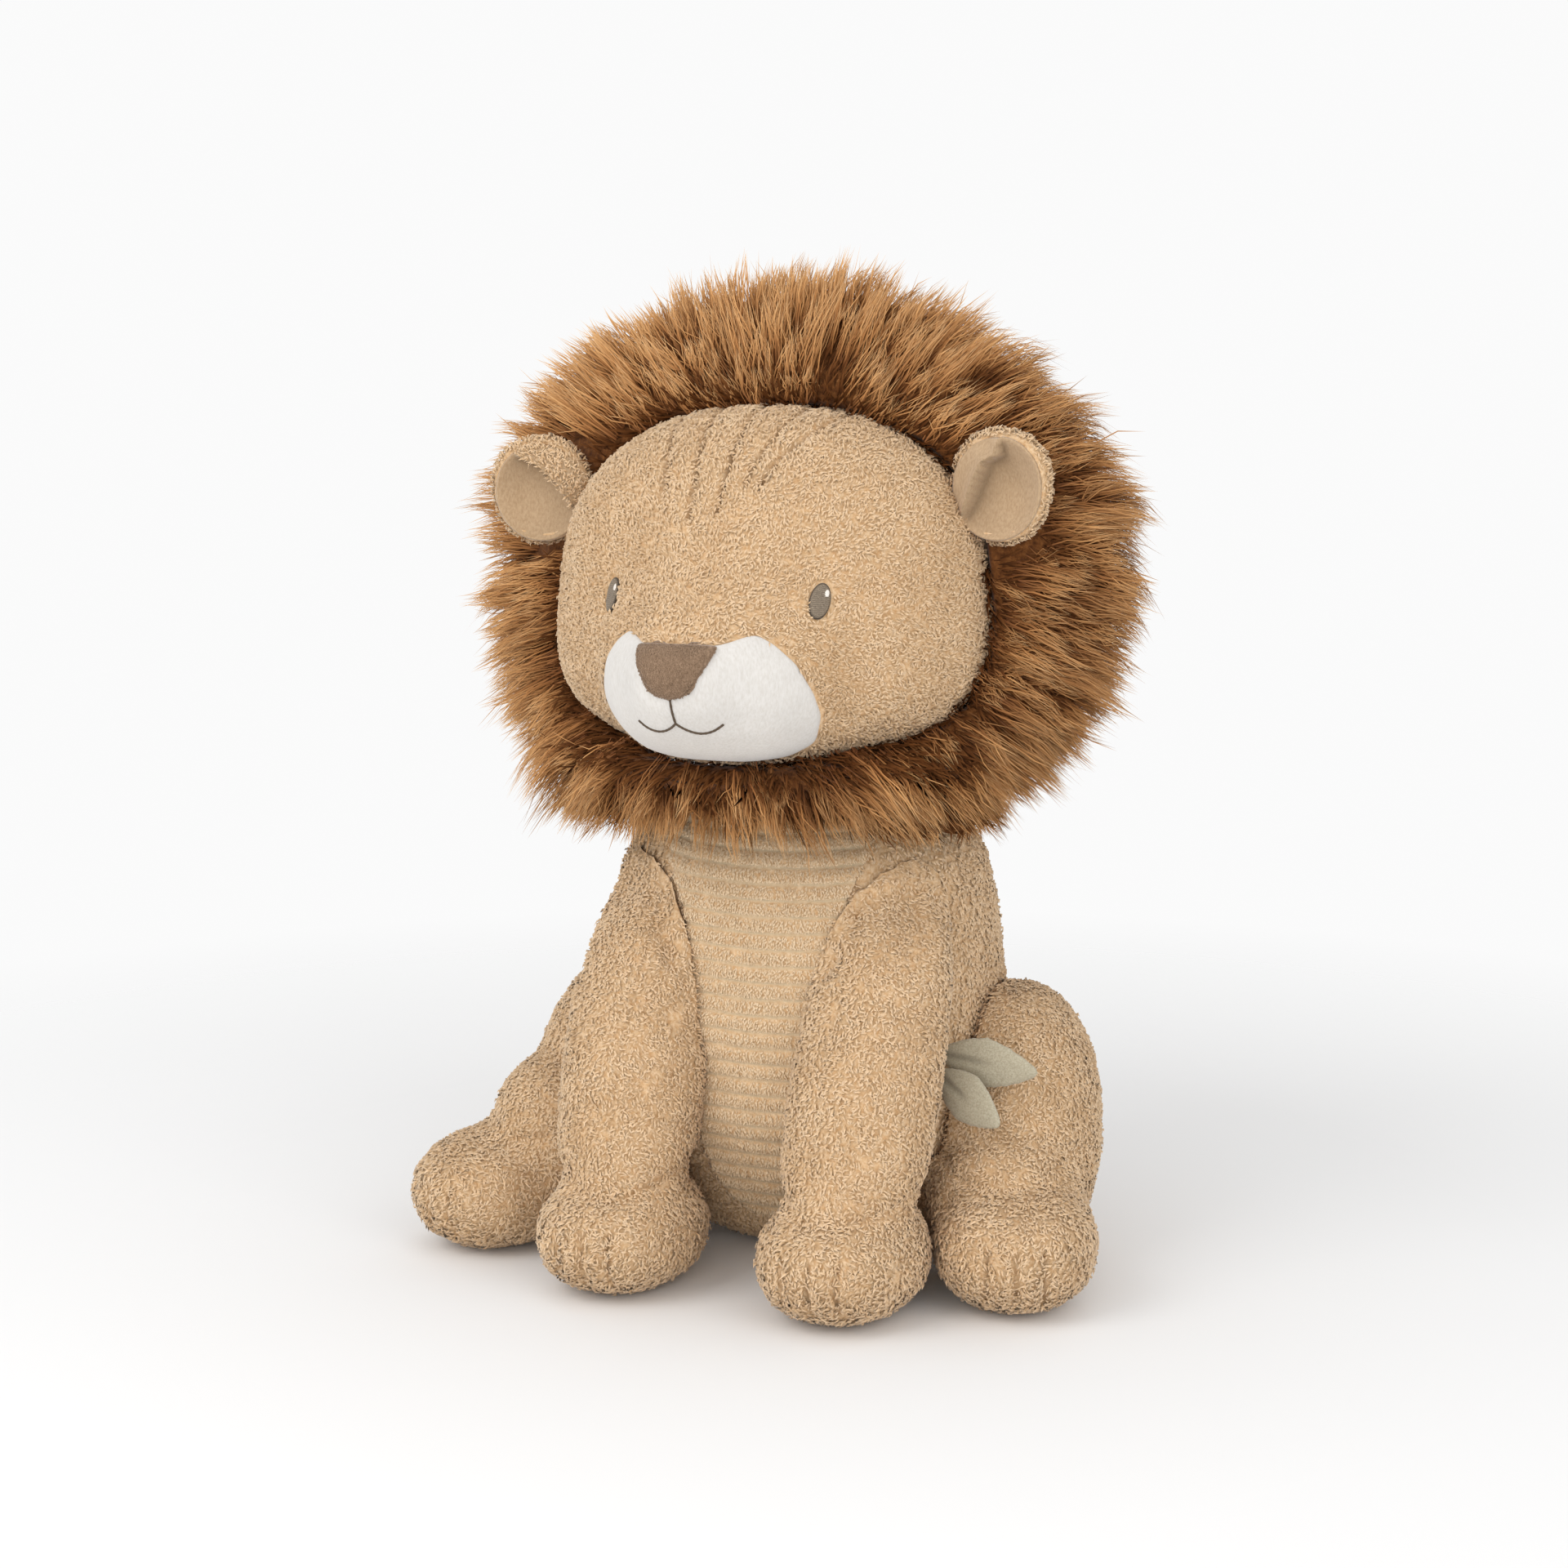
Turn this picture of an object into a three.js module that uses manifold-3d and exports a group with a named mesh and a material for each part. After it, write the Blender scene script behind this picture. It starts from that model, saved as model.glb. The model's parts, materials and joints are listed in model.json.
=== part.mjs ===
import * as THREE from 'three';
import { mergeVertices } from 'three/addons/utils/BufferGeometryUtils.js';
import Module from 'manifold-3d';

// A sitting plush lion: stuffed covers, filling, a fur mane, sewn face pieces and soft hinges
// Millimetres, +Z up; the lion faces -Y, its own left is +X, and the origin is the middle of its seat

const wasm = await Module();
wasm.setup();

// Fabric, seams and cuts
const sewnGap = 0.3;
const coverWall = 4;
const seatCut = 0.5;
const weldReach = 0.001;
const cutOverrun = 30;
const panelDepth = 1.5;
const panelRise = 0.8;

// Torso, a pear that leans on its rump
const torso = {
  base: -seatCut, top: 306, x: 0, y: 15, halfWidth: 118, front: 110, back: 115,
  widthShares: [1.1, 1.1, 1.02, 0.98, 0.955, 1, 1],
  frontShares: [0.6, 0.88, 1, 1, 0.95, 0.95, 0.95],
  backShares: [1.1, 1.14, 1.06, 0.96, 0.87, 0.76, 0.72],
  lean: -15, leanShares: [1, 0, 0, 0, 0, 0.45, 1],
  riseRound: 2.8, frontRound: 2.6, backRound: 2.1, sides: 20, rings: 12,
};
const torsoWall = 6;
const torsoCavitySides = 16;
const torsoCavityRings = 9;

// Pellet bag that weighs the seat
const pelletBagHeight = 56;
const pelletBagMargin = 30;
const pelletBag = {
  base: -pelletBagHeight, top: pelletBagHeight, x: torso.x, y: torso.y,
  halfWidth: torso.halfWidth - pelletBagMargin, front: torso.front - pelletBagMargin,
  back: torso.back - pelletBagMargin,
  riseRound: 2.4, frontRound: 2.2, backRound: 2.2, sides: 14, rings: 8,
};

// Ribbed belly panel let into the front of the torso
const bellyHem = 30;
const bellyHeight = 246;
const bellyHalfWidth = 67;
const bellyEdgeShares = [
  [0, 1], [0.5, 1], [0.97, 0.985], [0.86, 0.86], [0.68, 0.72], [0.58, 0.55],
  [0.57, 0.36], [0.56, 0.2], [0.48, 0.08], [0.3, 0.015], [0, 0],
];
const outlineSteps = 16;

// Neck, a stuffed ball on a short stem
const neckSetBack = -27;
const neckRise = 12;
const neckBallRadius = 46;
const neckStemRadius = 34;
const neckStemDepth = 44;
const neckSides = 20;
const neckArcSteps = 7;
const neckY = torso.y + neckSetBack;
const neckPivotHeight = torso.top + neckRise;
const socketGap = 0.9;
const neckTurn = 20;
const headNod = 8;

// Head, wide and flat with a broad muzzle
const headLift = 4;
const headHeight = 205;
const headForward = 46;
const headBase = torso.top + headLift;
const head = {
  base: headBase, top: headBase + headHeight, x: 0, y: neckY - headForward,
  halfWidth: 130, front: 95, back: 88,
  widthShares: [1.2, 1.15, 1.06, 1.01, 1, 0.98, 0.95],
  frontShares: [1.2, 1.14, 1.05, 0.99, 0.94, 0.9, 0.85],
  backShares: [0.9, 0.95, 1, 1, 1, 0.98, 0.95],
  riseRound: 2.4, frontRound: 2.08, backRound: 2.1, sides: 26, rings: 15,
  muzzleReach: 51, muzzleSpread: 55, muzzlePower: 4,
  muzzleShares: [0.55, 0.85, 0.97, 0.97, 0.7, 0.3, 0.11, 0.04, 0, 0, 0],
};
const headWall = 7;
const muzzleRoomShare = 0.8;
const headCavitySides = 20;
const headCavityRings = 10;

// Muzzle panel, nose and mouth, drawn on the face from the front
const muzzleHem = 5;
const muzzleHalfWidth = 65;
const muzzleHeight = 77;
const muzzleBase = head.base + muzzleHem;
const muzzleEdgeShares = [
  [0, 0.92], [0.35, 0.92], [0.57, 1], [0.72, 0.92], [0.88, 0.777], [0.98, 0.557],
  [1, 0.376], [0.88, 0.155], [0.62, 0.04], [0.3, 0], [0, 0],
];
const noseHalfWidth = 23;
const noseHeight = 26;
const noseThickness = 2;
const noseTop = muzzleBase + muzzleHeight * muzzleEdgeShares[0][1];
const noseEdgeShares = [[0, 1], [0.55, 1], [1, 0.97], [0.88, 0.66], [0.62, 0.3], [0.33, 0.06], [0, 0]];
const noseSteps = 10;
const mouthHalfWidth = 25;
const mouthSag = 7;
const lipDrop = 14;
const mouthThread = 1.7;
const mouthThickness = 1.2;
const mouthArcShares = [[0, 0], [0.15, 0.5], [0.45, 1], [0.78, 0.72], [1, 0]];
const mouthSteps = 8;

// Embroidered eyes
const eyeX = 63;
const eyeLift = 99;
const eyeHalfWidth = 5.2;
const eyeHalfHeight = 9.4;
const eyeThickness = 1.3;
const eyeSides = 14;

// Ears, cupped rounds of pile with a smooth lining, built about their own middle
const earHalfHeight = 33;
const ear = {
  base: -earHalfHeight, top: earHalfHeight, x: 0, y: 0, halfWidth: 31, front: 8, back: 13,
  riseRound: 2.2, frontRound: 2.2, backRound: 2.2, sides: 14, rings: 8,
};
const earRim = 5;
const earBackWall = 5;
const earBowlForward = 5;
const liningThickness = 2.4;
const earOut = 16;
const earDrop = 46;
const earLift = headHeight - earDrop;
const earForward = 13;
const earTurn = -10;
const earRoll = 10;
const earHingeInset = 27;
const earFold = 35;

// Mane, the long fur fabric round the back of the head
const furLength = 71;
const furCrown = 74;
const furFringe = 48;
const maneSetBack = 44;
const mane = {
  base: head.base - furFringe, top: head.top + furCrown, x: 0, y: head.y + maneSetBack,
  halfWidth: head.halfWidth + furLength, front: 64, back: 112,
  widthShares: [1.1, 1.08, 1.02, 1, 1, 0.95, 0.88],
  frontShares: [1.5, 1.25, 1.02, 1, 0.95, 0.9, 0.8],
  backShares: [1.25, 1.2, 1.06, 0.98, 0.95, 0.95, 0.9],
  lean: -42, leanShares: [1, 0.62, 0.2, 0, 0, 0.1, 0.2],
  riseRound: 2.1, frontRound: 2.1, backRound: 2.2, sides: 22, rings: 12,
};
const fringeDrop = 38;
const fringeLap = 16;
const fringeForward = 36;
const fringe = {
  base: head.base - fringeDrop, top: head.base + fringeLap, x: 0, y: neckY - fringeForward, halfWidth: 144,
  front: 100, back: 90, riseRound: 2.6, frontRound: 2.2, backRound: 2.2, sides: 18, rings: 6,
};
const collarRadius = 114;
const collarSides = 20;
const collarRings = 10;
const collarHeadroom = 6;
const collarCeiling = head.base + collarHeadroom;

// Front legs, columns that lean forward to their paws
const shoulderInset = 46;
const shoulderHeight = 214;
const shoulderForward = 68;
const shoulderCap = 44;
const ankleHeight = 42;
const legLean = 83;
const frontLeg = {
  base: ankleHeight, top: shoulderHeight + shoulderCap,
  x: torso.halfWidth - shoulderInset, y: torso.y - shoulderForward,
  halfWidth: 44, front: 42, back: 42,
  widthShares: [1.12, 1.06, 1.01, 1, 1],
  lean: -legLean, leanShares: [0.85, 0.66, 0.42, 0.16, -0.12],
  riseRound: 3, frontRound: 2, backRound: 2, sides: 14, rings: 9,
};
const legCavitySides = 10;
const legCavityRings = 6;
const frontLegSwing = 30;

// Front paws
const pawInset = 2;
const pawForward = 67;
const frontPaw = {
  base: -seatCut, top: 70, x: frontLeg.x - pawInset, y: frontLeg.y - pawForward,
  halfWidth: 49, front: 64, back: 52,
  widthShares: [1, 1, 1, 0.98, 0.94], frontShares: [1, 1, 1, 0.95, 0.8],
  riseRound: 2.3, frontRound: 2.2, backRound: 2.2, sides: 14, rings: 8,
};

// Hind legs, round haunches beside the rump
const haunchInset = 6;
const haunchForward = 9;
const thigh = {
  base: -seatCut, top: 172, x: torso.halfWidth - haunchInset, y: torso.y - haunchForward,
  halfWidth: 61, front: 62, back: 68,
  widthShares: [1.08, 1.06, 1.02, 0.98, 0.95], frontShares: [1.12, 1.12, 1.03, 0.97, 0.93],
  lean: 10, leanShares: [-1, -0.5, 0, 0.5, 1],
  riseRound: 2.3, frontRound: 2.1, backRound: 2.1, sides: 16, rings: 9,
};
const shinShare = 0.5;
const shin = {
  base: -seatCut, x: 0, y: 0, halfWidth: 46, front: 58, back: 58,
  riseRound: 2.2, frontRound: 2.1, backRound: 2.1, sides: 12, rings: 7,
};
const thighCavitySides = 10;
const thighCavityRings = 6;
const hipInset = 54;
const hipSetBack = 60;
const hipSplay = 12;

// Hind feet, turned outward, built about their own middle
const foot = {
  base: -seatCut, top: 73, x: 0, y: 0, halfWidth: 48, front: 58, back: 60,
  widthShares: [1, 1, 1, 0.98, 0.94], frontShares: [1, 1, 1, 0.95, 0.8],
  riseRound: 2.3, frontRound: 2.2, backRound: 2.1, sides: 14, rings: 8,
};
const hindLegs = [
  { name: 'left', side: 1, out: 5, forward: 0, shinTop: 100, footOut: 36, footForward: 73, footTurn: 20 },
  { name: 'right', side: -1, out: 8, forward: 10, shinTop: 118, footOut: 56, footForward: 74, footTurn: 26 },
];

// Leaves sewn to the lion's left side behind the front leg
const leafLength = 62;
const leaf = {
  base: 0, top: leafLength, x: 0, y: 0, halfWidth: 12.5, front: 3.3, back: 3.3,
  widthShares: [0.7, 0.85, 1.05, 1.15, 1, 0.8, 0.6],
  riseRound: 2, frontRound: 2, backRound: 2, sides: 10, rings: 8,
};
const leaves = [
  { name: 'leaf_upper', heightShare: 0.475, turn: 33, tuck: 4, long: 1, heading: [1, -0.14, 0.03] },
  { name: 'leaf_lower', heightShare: 0.428, turn: 34, tuck: 1, long: 0.84, heading: [0.87, -0.36, -0.22] },
];
const leafFlap = 25;

// Tail with its tuft, curled behind the rump
const tailRadius = 10;
const tailSides = 10;
const tailSteps = 10;
const tailHeight = 34;
const tailReach = 92;
const tailBow = 66;
const tailRest = 3;
const tailRouteShares = [
  [0, -0.3, 1], [0.03, 0.28, 0.7], [0.27, 0.74, 0.2], [0.67, 0.98, 0.2], [1, 0.96, 0.55],
];
const tailSwing = 20;
const tuftLength = 70;
const tuftOverlap = 8;
const tuft = {
  base: 0, top: tuftLength, x: 0, y: 0, halfWidth: 19, front: 19, back: 19,
  widthShares: [0.7, 1, 1.05, 0.9, 0.7], frontShares: [0.7, 1, 1.05, 0.9, 0.7],
  backShares: [0.7, 1, 1.05, 0.9, 0.7],
  riseRound: 2, frontRound: 2, backRound: 2, sides: 12, rings: 8,
};

// Finishes
const pile = { color: 0xc9a77f, roughness: 0.95 };
const pileShade = { color: 0xc3a078, roughness: 0.95 };
const ribbed = { color: 0xcfae84, roughness: 0.9 };
const velourWhite = { color: 0xe6e1da, roughness: 0.85 };
const velourBeige = { color: 0xb79a78, roughness: 0.85 };
const velourBrown = { color: 0x93775f, roughness: 0.85 };
const velourSage = { color: 0xa39882, roughness: 0.85 };
const threadBrown = { color: 0x5b4632, roughness: 0.7 };
const threadTaupe = { color: 0x7d6a55, roughness: 0.7 };
const longFur = { color: 0x8a5c36, roughness: 0.9 };
const fibreFill = { color: 0xf2f0ea, roughness: 1 };
const pelletCloth = { color: 0xd8d4c8, roughness: 0.9 };

// A value of a table of shares, eased between its entries
function shareAt(shares, along) {
  if (!shares) return 1;
  const curve = new THREE.SplineCurve(shares.map((share, i) => new THREE.Vector2(i, share)));
  return curve.getPoint(along).y;
}

// Sine or cosine squared off by a roundness: 2 is an ellipse, more is boxier
function squared(value, round) {
  return Math.sign(value) * Math.abs(value) ** (2 / round);
}

// How far a muzzle pushes a point of the head forward
function muzzlePush(shape, along, across, facing) {
  if (!shape.muzzleReach || facing >= 0) return 0;
  const spread = Math.exp(-((Math.abs(across) / shape.muzzleSpread) ** shape.muzzlePower));
  return shape.muzzleReach * spread * shareAt(shape.muzzleShares, along) * Math.min(1, -2 * facing);
}

// One point of a stuffed form, by its angle up from -90 to 90 degrees and its turn round
function formPoint(shape, up, turn, grow, side) {
  const halfHeight = (shape.top - shape.base) / 2 + grow;
  const rise = squared(Math.sin(up), shape.riseRound);
  const swell = squared(Math.cos(up), shape.riseRound);
  const along = (rise + 1) / 2;
  const facing = Math.sin(turn);
  const round = facing < 0 ? shape.frontRound : shape.backRound;
  const depth = facing < 0
    ? shape.front * shareAt(shape.frontShares, along)
    : shape.back * shareAt(shape.backShares, along);
  const width = shape.halfWidth * shareAt(shape.widthShares, along);
  const leanY = shape.lean ? shape.lean * shareAt(shape.leanShares, along) : 0;
  const across = (width + grow) * swell * squared(Math.cos(turn), round);
  const push = muzzlePush(shape, along, across, facing);
  return new THREE.Vector3(
    side * shape.x + across,
    shape.y + leanY + (depth + grow) * swell * squared(facing, round) - push,
    (shape.base + shape.top) / 2 + halfHeight * rise,
  );
}

// The closed skin of a stuffed form: rings of points between two poles
function stuffedForm(shape, { grow = 0, side = 1, sides = shape.sides, rings = shape.rings } = {}) {
  const points = [formPoint(shape, -Math.PI / 2, 0, grow, side)];
  for (let ring = 1; ring < rings; ring += 1) {
    const up = Math.PI * (ring / rings - 0.5);
    for (let i = 0; i < sides; i += 1) {
      points.push(formPoint(shape, up, (2 * Math.PI * i) / sides, grow, side));
    }
  }
  points.push(formPoint(shape, Math.PI / 2, 0, grow, side));
  const indices = [];
  for (let i = 0; i < sides; i += 1) {
    const next = (i + 1) % sides;
    indices.push(0, 1 + next, 1 + i);
    for (let ring = 0; ring < rings - 2; ring += 1) {
      const low = 1 + ring * sides;
      const high = low + sides;
      indices.push(low + i, low + next, high + next, low + i, high + next, high + i);
    }
    const last = 1 + (rings - 2) * sides;
    indices.push(last + i, last + next, points.length - 1);
  }
  const geometry = new THREE.BufferGeometry().setFromPoints(points);
  geometry.setIndex(indices);
  return geometry;
}

// A solid for joining and cutting, from a closed geometry
function solidOf(geometry) {
  const bare = geometry.clone();
  bare.deleteAttribute('normal');
  bare.deleteAttribute('uv');
  const welded = mergeVertices(bare, weldReach);
  const triVerts = [];
  const { array } = welded.index;
  for (let i = 0; i < array.length; i += 3) {
    const [a, b, c] = array.slice(i, i + 3);
    if (a !== b && b !== c && c !== a) triVerts.push(a, b, c);
  }
  return new wasm.Manifold(new wasm.Mesh({
    numProp: 3,
    vertProperties: new Float32Array(welded.attributes.position.array),
    triVerts: new Uint32Array(triVerts),
  }));
}

// The triangles of a solid, for turning or showing
function geometryOf(solid) {
  const { vertProperties, triVerts } = solid.getMesh();
  const geometry = new THREE.BufferGeometry();
  geometry.setAttribute('position', new THREE.BufferAttribute(new Float32Array(vertProperties), 3));
  geometry.setIndex([...triVerts]);
  return geometry;
}

function formSolid(shape, options) {
  return solidOf(stuffedForm(shape, options));
}

function subtractAll(solid, cutters) {
  return cutters.reduce((left, cutter) => left.subtract(cutter), solid);
}

// A solid turned about an upright or level axis through a point, as its joint would turn it
function turnedGeometry(geometry, axis, degrees, pivot) {
  const turned = geometry.clone();
  turned.translate(-pivot.x, -pivot.y, -pivot.z);
  turned.applyMatrix4(new THREE.Matrix4().makeRotationAxis(axis, THREE.MathUtils.degToRad(degrees)));
  turned.translate(pivot.x, pivot.y, pivot.z);
  return turned;
}

// Everything below the floor, for cutting the flat places that the lion rests on
function belowFloor() {
  const reach = torso.top;
  const block = new THREE.BoxGeometry(2 * reach, 2 * reach, cutOverrun);
  block.translate(0, 0, -cutOverrun / 2);
  return solidOf(block);
}
const floorCut = belowFloor();

// The whole outline of a panel from its right half, drawn as shares across and up
function panelOutline(edgeShares, halfWidth, base, height, steps) {
  const corners = edgeShares.map(([across, up]) => new THREE.Vector2(across * halfWidth, base + up * height));
  const half = new THREE.SplineCurve(corners).getPoints(steps);
  const mirrored = half.slice(1, -1).reverse().map((point) => new THREE.Vector2(-point.x, point.y));
  return [...half, ...mirrored];
}

// An outline moved outward all round by a gap
function grownOutline(outline, gap) {
  const clockwise = THREE.ShapeUtils.isClockWise(outline) ? 1 : -1;
  return outline.map((point, i) => {
    const before = outline[(i + outline.length - 1) % outline.length];
    const after = outline[(i + 1) % outline.length];
    const run = after.clone().sub(before).normalize();
    return new THREE.Vector2(point.x - clockwise * run.y * gap, point.y + clockwise * run.x * gap);
  });
}

// A prism along Y, from an outline in X and Z, between two depths
function prismAlongY(outline, nearY, farY) {
  const shape = new THREE.Shape(outline);
  const prism = new THREE.ExtrudeGeometry(shape, { depth: farY - nearY, bevelEnabled: false });
  prism.rotateX(Math.PI / 2);
  prism.translate(0, farY, 0);
  return solidOf(prism);
}

// A thin layer of the head or torso inside an outline, between two rises over its surface
function layerOn(shape, prism, lowRise, highRise) {
  const outer = formSolid(shape, { grow: highRise });
  const inner = formSolid(shape, { grow: lowRise });
  return outer.subtract(inner).intersect(prism);
}

function frontPrism(shape, outline, gap = 0) {
  const near = shape.y - shape.front - (shape.muzzleReach ?? 0) - cutOverrun;
  return prismAlongY(gap ? grownOutline(outline, gap) : outline, near, shape.y);
}

// Scene graph: each moving body is a group placed at its hinge
function bodyAt(parent, x, y, z) {
  const body = new THREE.Group();
  const origin = parent.getWorldPosition(new THREE.Vector3());
  body.position.set(x, y, z).sub(origin);
  parent.add(body);
  body.updateWorldMatrix(true, false);
  return body;
}

function addPiece(body, name, solid, finish) {
  const geometry = geometryOf(solid);
  geometry.applyMatrix4(body.matrixWorld.clone().invert());
  geometry.computeVertexNormals();
  const piece = new THREE.Mesh(geometry, new THREE.MeshStandardMaterial({ metalness: 0, ...finish }));
  piece.name = name;
  body.add(piece);
}

const lion = new THREE.Group();
const upright = new THREE.Vector3(0, 0, 1);
const level = new THREE.Vector3(1, 0, 0);
const forward = new THREE.Vector3(0, -1, 0);

// Neck solid: a ball over a stem, turned about the neck's own axis
function neckSolid(grow, drop) {
  const radius = neckBallRadius + grow;
  const stem = neckStemRadius + grow;
  const base = torso.top - neckStemDepth - drop;
  const low = -Math.acos(stem / radius);
  const profile = [new THREE.Vector2(0, base), new THREE.Vector2(stem, base)];
  for (let i = 0; i <= neckArcSteps; i += 1) {
    const up = low + (Math.PI / 2 - low) * (i / neckArcSteps);
    const across = i === neckArcSteps ? 0 : radius * Math.cos(up);
    profile.push(new THREE.Vector2(across, neckPivotHeight + radius * Math.sin(up)));
  }
  const turned = new THREE.LatheGeometry(profile, neckSides);
  turned.rotateX(Math.PI / 2);
  turned.translate(0, neckY, 0);
  return solidOf(turned);
}
const neck = neckSolid(0, 0);
const neckRoom = neckSolid(socketGap, sewnGap);

// Torso pieces
const bellyOutline = panelOutline(bellyEdgeShares, bellyHalfWidth, bellyHem, bellyHeight, outlineSteps);
const torsoOuter = formSolid(torso).subtract(floorCut);
const torsoRoom = stuffedForm(torso, { grow: sewnGap });
const bellyRoom = layerOn(torso, frontPrism(torso, bellyOutline, sewnGap), -panelDepth, panelRise + sewnGap);
function torsoInside(inset) {
  return formSolid(torso, { grow: -inset, sides: torsoCavitySides, rings: torsoCavityRings });
}

function addTorso() {
  const body = bodyAt(lion, 0, 0, 0);
  const bellyRecess = frontPrism(torso, bellyOutline, sewnGap)
    .subtract(formSolid(torso, { grow: -panelDepth - sewnGap }));
  const cover = subtractAll(torsoOuter, [torsoInside(torsoWall), neckRoom, bellyRecess]);
  const belly = layerOn(torso, frontPrism(torso, bellyOutline), -panelDepth, panelRise);
  const filling = torsoInside(torsoWall + sewnGap);
  const bag = formSolid(pelletBag).intersect(filling);
  const bagRoom = formSolid(pelletBag, { grow: sewnGap });
  addPiece(body, 'torso_cover', cover, pile);
  addPiece(body, 'belly_panel', belly, ribbed);
  addPiece(body, 'torso_stuffing', subtractAll(filling, [bagRoom, neckRoom]), fibreFill);
  addPiece(body, 'pellet_bag', bag, pelletCloth);
  return body;
}

// Neck and head pieces
const headOuter = stuffedForm(head);
const headRoom = formSolid(head, { grow: sewnGap });
const muzzleOutline = panelOutline(muzzleEdgeShares, muzzleHalfWidth, muzzleBase, muzzleHeight, outlineSteps);

function headInside(inset) {
  const room = { ...head, muzzleReach: head.muzzleReach * muzzleRoomShare };
  return formSolid(room, { grow: -inset, sides: headCavitySides, rings: headCavityRings });
}

// The ball that the head turns on, as room cut out of the head
function neckSocket() {
  const ball = new THREE.SphereGeometry(neckBallRadius + socketGap, neckSides, neckSides);
  ball.rotateX(Math.PI / 2);
  ball.translate(0, neckY, neckPivotHeight - socketGap + sewnGap);
  return solidOf(ball);
}

// A sewn line of thread across the face, from points in X and Z
function threadPrism(points) {
  const line = new THREE.SplineCurve(points);
  const steps = Array.from({ length: mouthSteps + 1 }, (_, i) => i / mouthSteps);
  const edge = (offset) => steps.map((t) => {
    const along = line.getTangent(t);
    return line.getPoint(t).add(new THREE.Vector2(-along.y, along.x).multiplyScalar(offset));
  });
  const outline = [...edge(-mouthThread / 2), ...edge(mouthThread / 2).reverse()];
  return frontPrism(head, outline);
}

function mouthPrism() {
  const noseBase = noseTop - noseHeight;
  const lipHeight = noseBase - lipDrop;
  const arc = (side) => mouthArcShares.map(([across, down]) => new THREE.Vector2(
    side * across * mouthHalfWidth,
    lipHeight - down * mouthSag,
  ));
  const drop = [new THREE.Vector2(0, noseBase - mouthThread / 2), new THREE.Vector2(0, lipHeight)];
  return threadPrism(arc(1)).add(threadPrism(arc(-1))).add(threadPrism(drop));
}

function eyePrism(side) {
  const centre = head.base + eyeLift;
  const rim = new THREE.EllipseCurve(side * eyeX, centre, eyeHalfWidth, eyeHalfHeight, 0, 2 * Math.PI);
  return frontPrism(head, rim.getPoints(eyeSides).slice(0, eyeSides));
}

function addHead(body) {
  const socket = neckSocket();
  const recess = frontPrism(head, muzzleOutline, sewnGap)
    .subtract(formSolid(head, { grow: -panelDepth - sewnGap }));
  const cover = subtractAll(solidOf(headOuter), [headInside(headWall), socket, recess]);
  const filling = subtractAll(headInside(headWall + sewnGap), [socket, recess]);
  const noseBase = noseTop - noseHeight;
  const noseOutline = panelOutline(noseEdgeShares, noseHalfWidth, noseBase, noseHeight, noseSteps);
  const nosePrism = frontPrism(head, noseOutline);
  const muzzle = layerOn(head, frontPrism(head, muzzleOutline), -panelDepth, panelRise);
  const onPanel = panelRise + sewnGap;
  addPiece(body, 'head_cover', cover, pile);
  addPiece(body, 'head_stuffing', filling, fibreFill);
  addPiece(body, 'muzzle_panel', muzzle, velourWhite);
  addPiece(body, 'nose', layerOn(head, nosePrism, onPanel, onPanel + noseThickness), velourBrown);
  addPiece(body, 'mouth_stitch', layerOn(head, mouthPrism(), onPanel, onPanel + mouthThickness), threadBrown);
  for (const [name, side] of [['eye_left', 1], ['eye_right', -1]]) {
    addPiece(body, name, layerOn(head, eyePrism(side), sewnGap, sewnGap + eyeThickness), threadTaupe);
  }
}

// Ears: a cupped back with its rim and a lining let into it, cut by the head also when folded
function earPlace(side) {
  const turn = THREE.MathUtils.degToRad(earTurn) * side;
  const roll = THREE.MathUtils.degToRad(earRoll) * side;
  return new THREE.Matrix4()
    .makeTranslation(side * (head.halfWidth + earOut), head.y - earForward, head.base + earLift)
    .multiply(new THREE.Matrix4().makeRotationZ(turn))
    .multiply(new THREE.Matrix4().makeRotationY(roll));
}

function earBowl(inset, forward) {
  const half = earHalfHeight - earRim - inset;
  const reach = ear.back - earBackWall + earBowlForward - inset;
  return {
    ...ear, base: -half, top: half, y: -earBowlForward - forward,
    halfWidth: ear.halfWidth - earRim - inset, front: reach, back: reach,
  };
}

function earSolid(side, shape, options) {
  return solidOf(stuffedForm(shape, options).applyMatrix4(earPlace(side)));
}

function earHinge(side) {
  const across = head.halfWidth + earOut - earHingeInset;
  return { x: side * across, y: head.y - earForward, z: head.base + earLift };
}

function addEar(headBody, side, name) {
  const hinge = earHinge(side);
  const body = bodyAt(headBody, hinge.x, hinge.y, hinge.z);
  const folds = [0, 0.5, 1].map((share) => solidOf(
    turnedGeometry(stuffedForm(head, { grow: sewnGap }), upright, side * earFold * share, hinge),
  ));
  const back = earSolid(side, ear).subtract(earSolid(side, earBowl(0, 0)));
  const lining = earSolid(side, earBowl(sewnGap, 0)).intersect(earSolid(side, ear, { grow: -sewnGap }))
    .subtract(earSolid(side, earBowl(liningThickness, liningThickness / 2)));
  addPiece(body, `${name}_back`, subtractAll(back, folds), pile);
  addPiece(body, `${name}_lining`, subtractAll(lining, folds), velourBeige);
}

// Mane: the fur outside the head, hollowed where the ears and the top of the torso turn
function collarRoom() {
  const ball = new THREE.SphereGeometry(collarRadius, collarSides, collarRings);
  ball.rotateX(Math.PI / 2);
  ball.translate(0, neckY, neckPivotHeight);
  const height = 2 * collarRadius;
  const lower = new THREE.BoxGeometry(height, height, height);
  lower.translate(0, neckY, collarCeiling - height / 2);
  return solidOf(ball).intersect(solidOf(lower));
}

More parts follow.
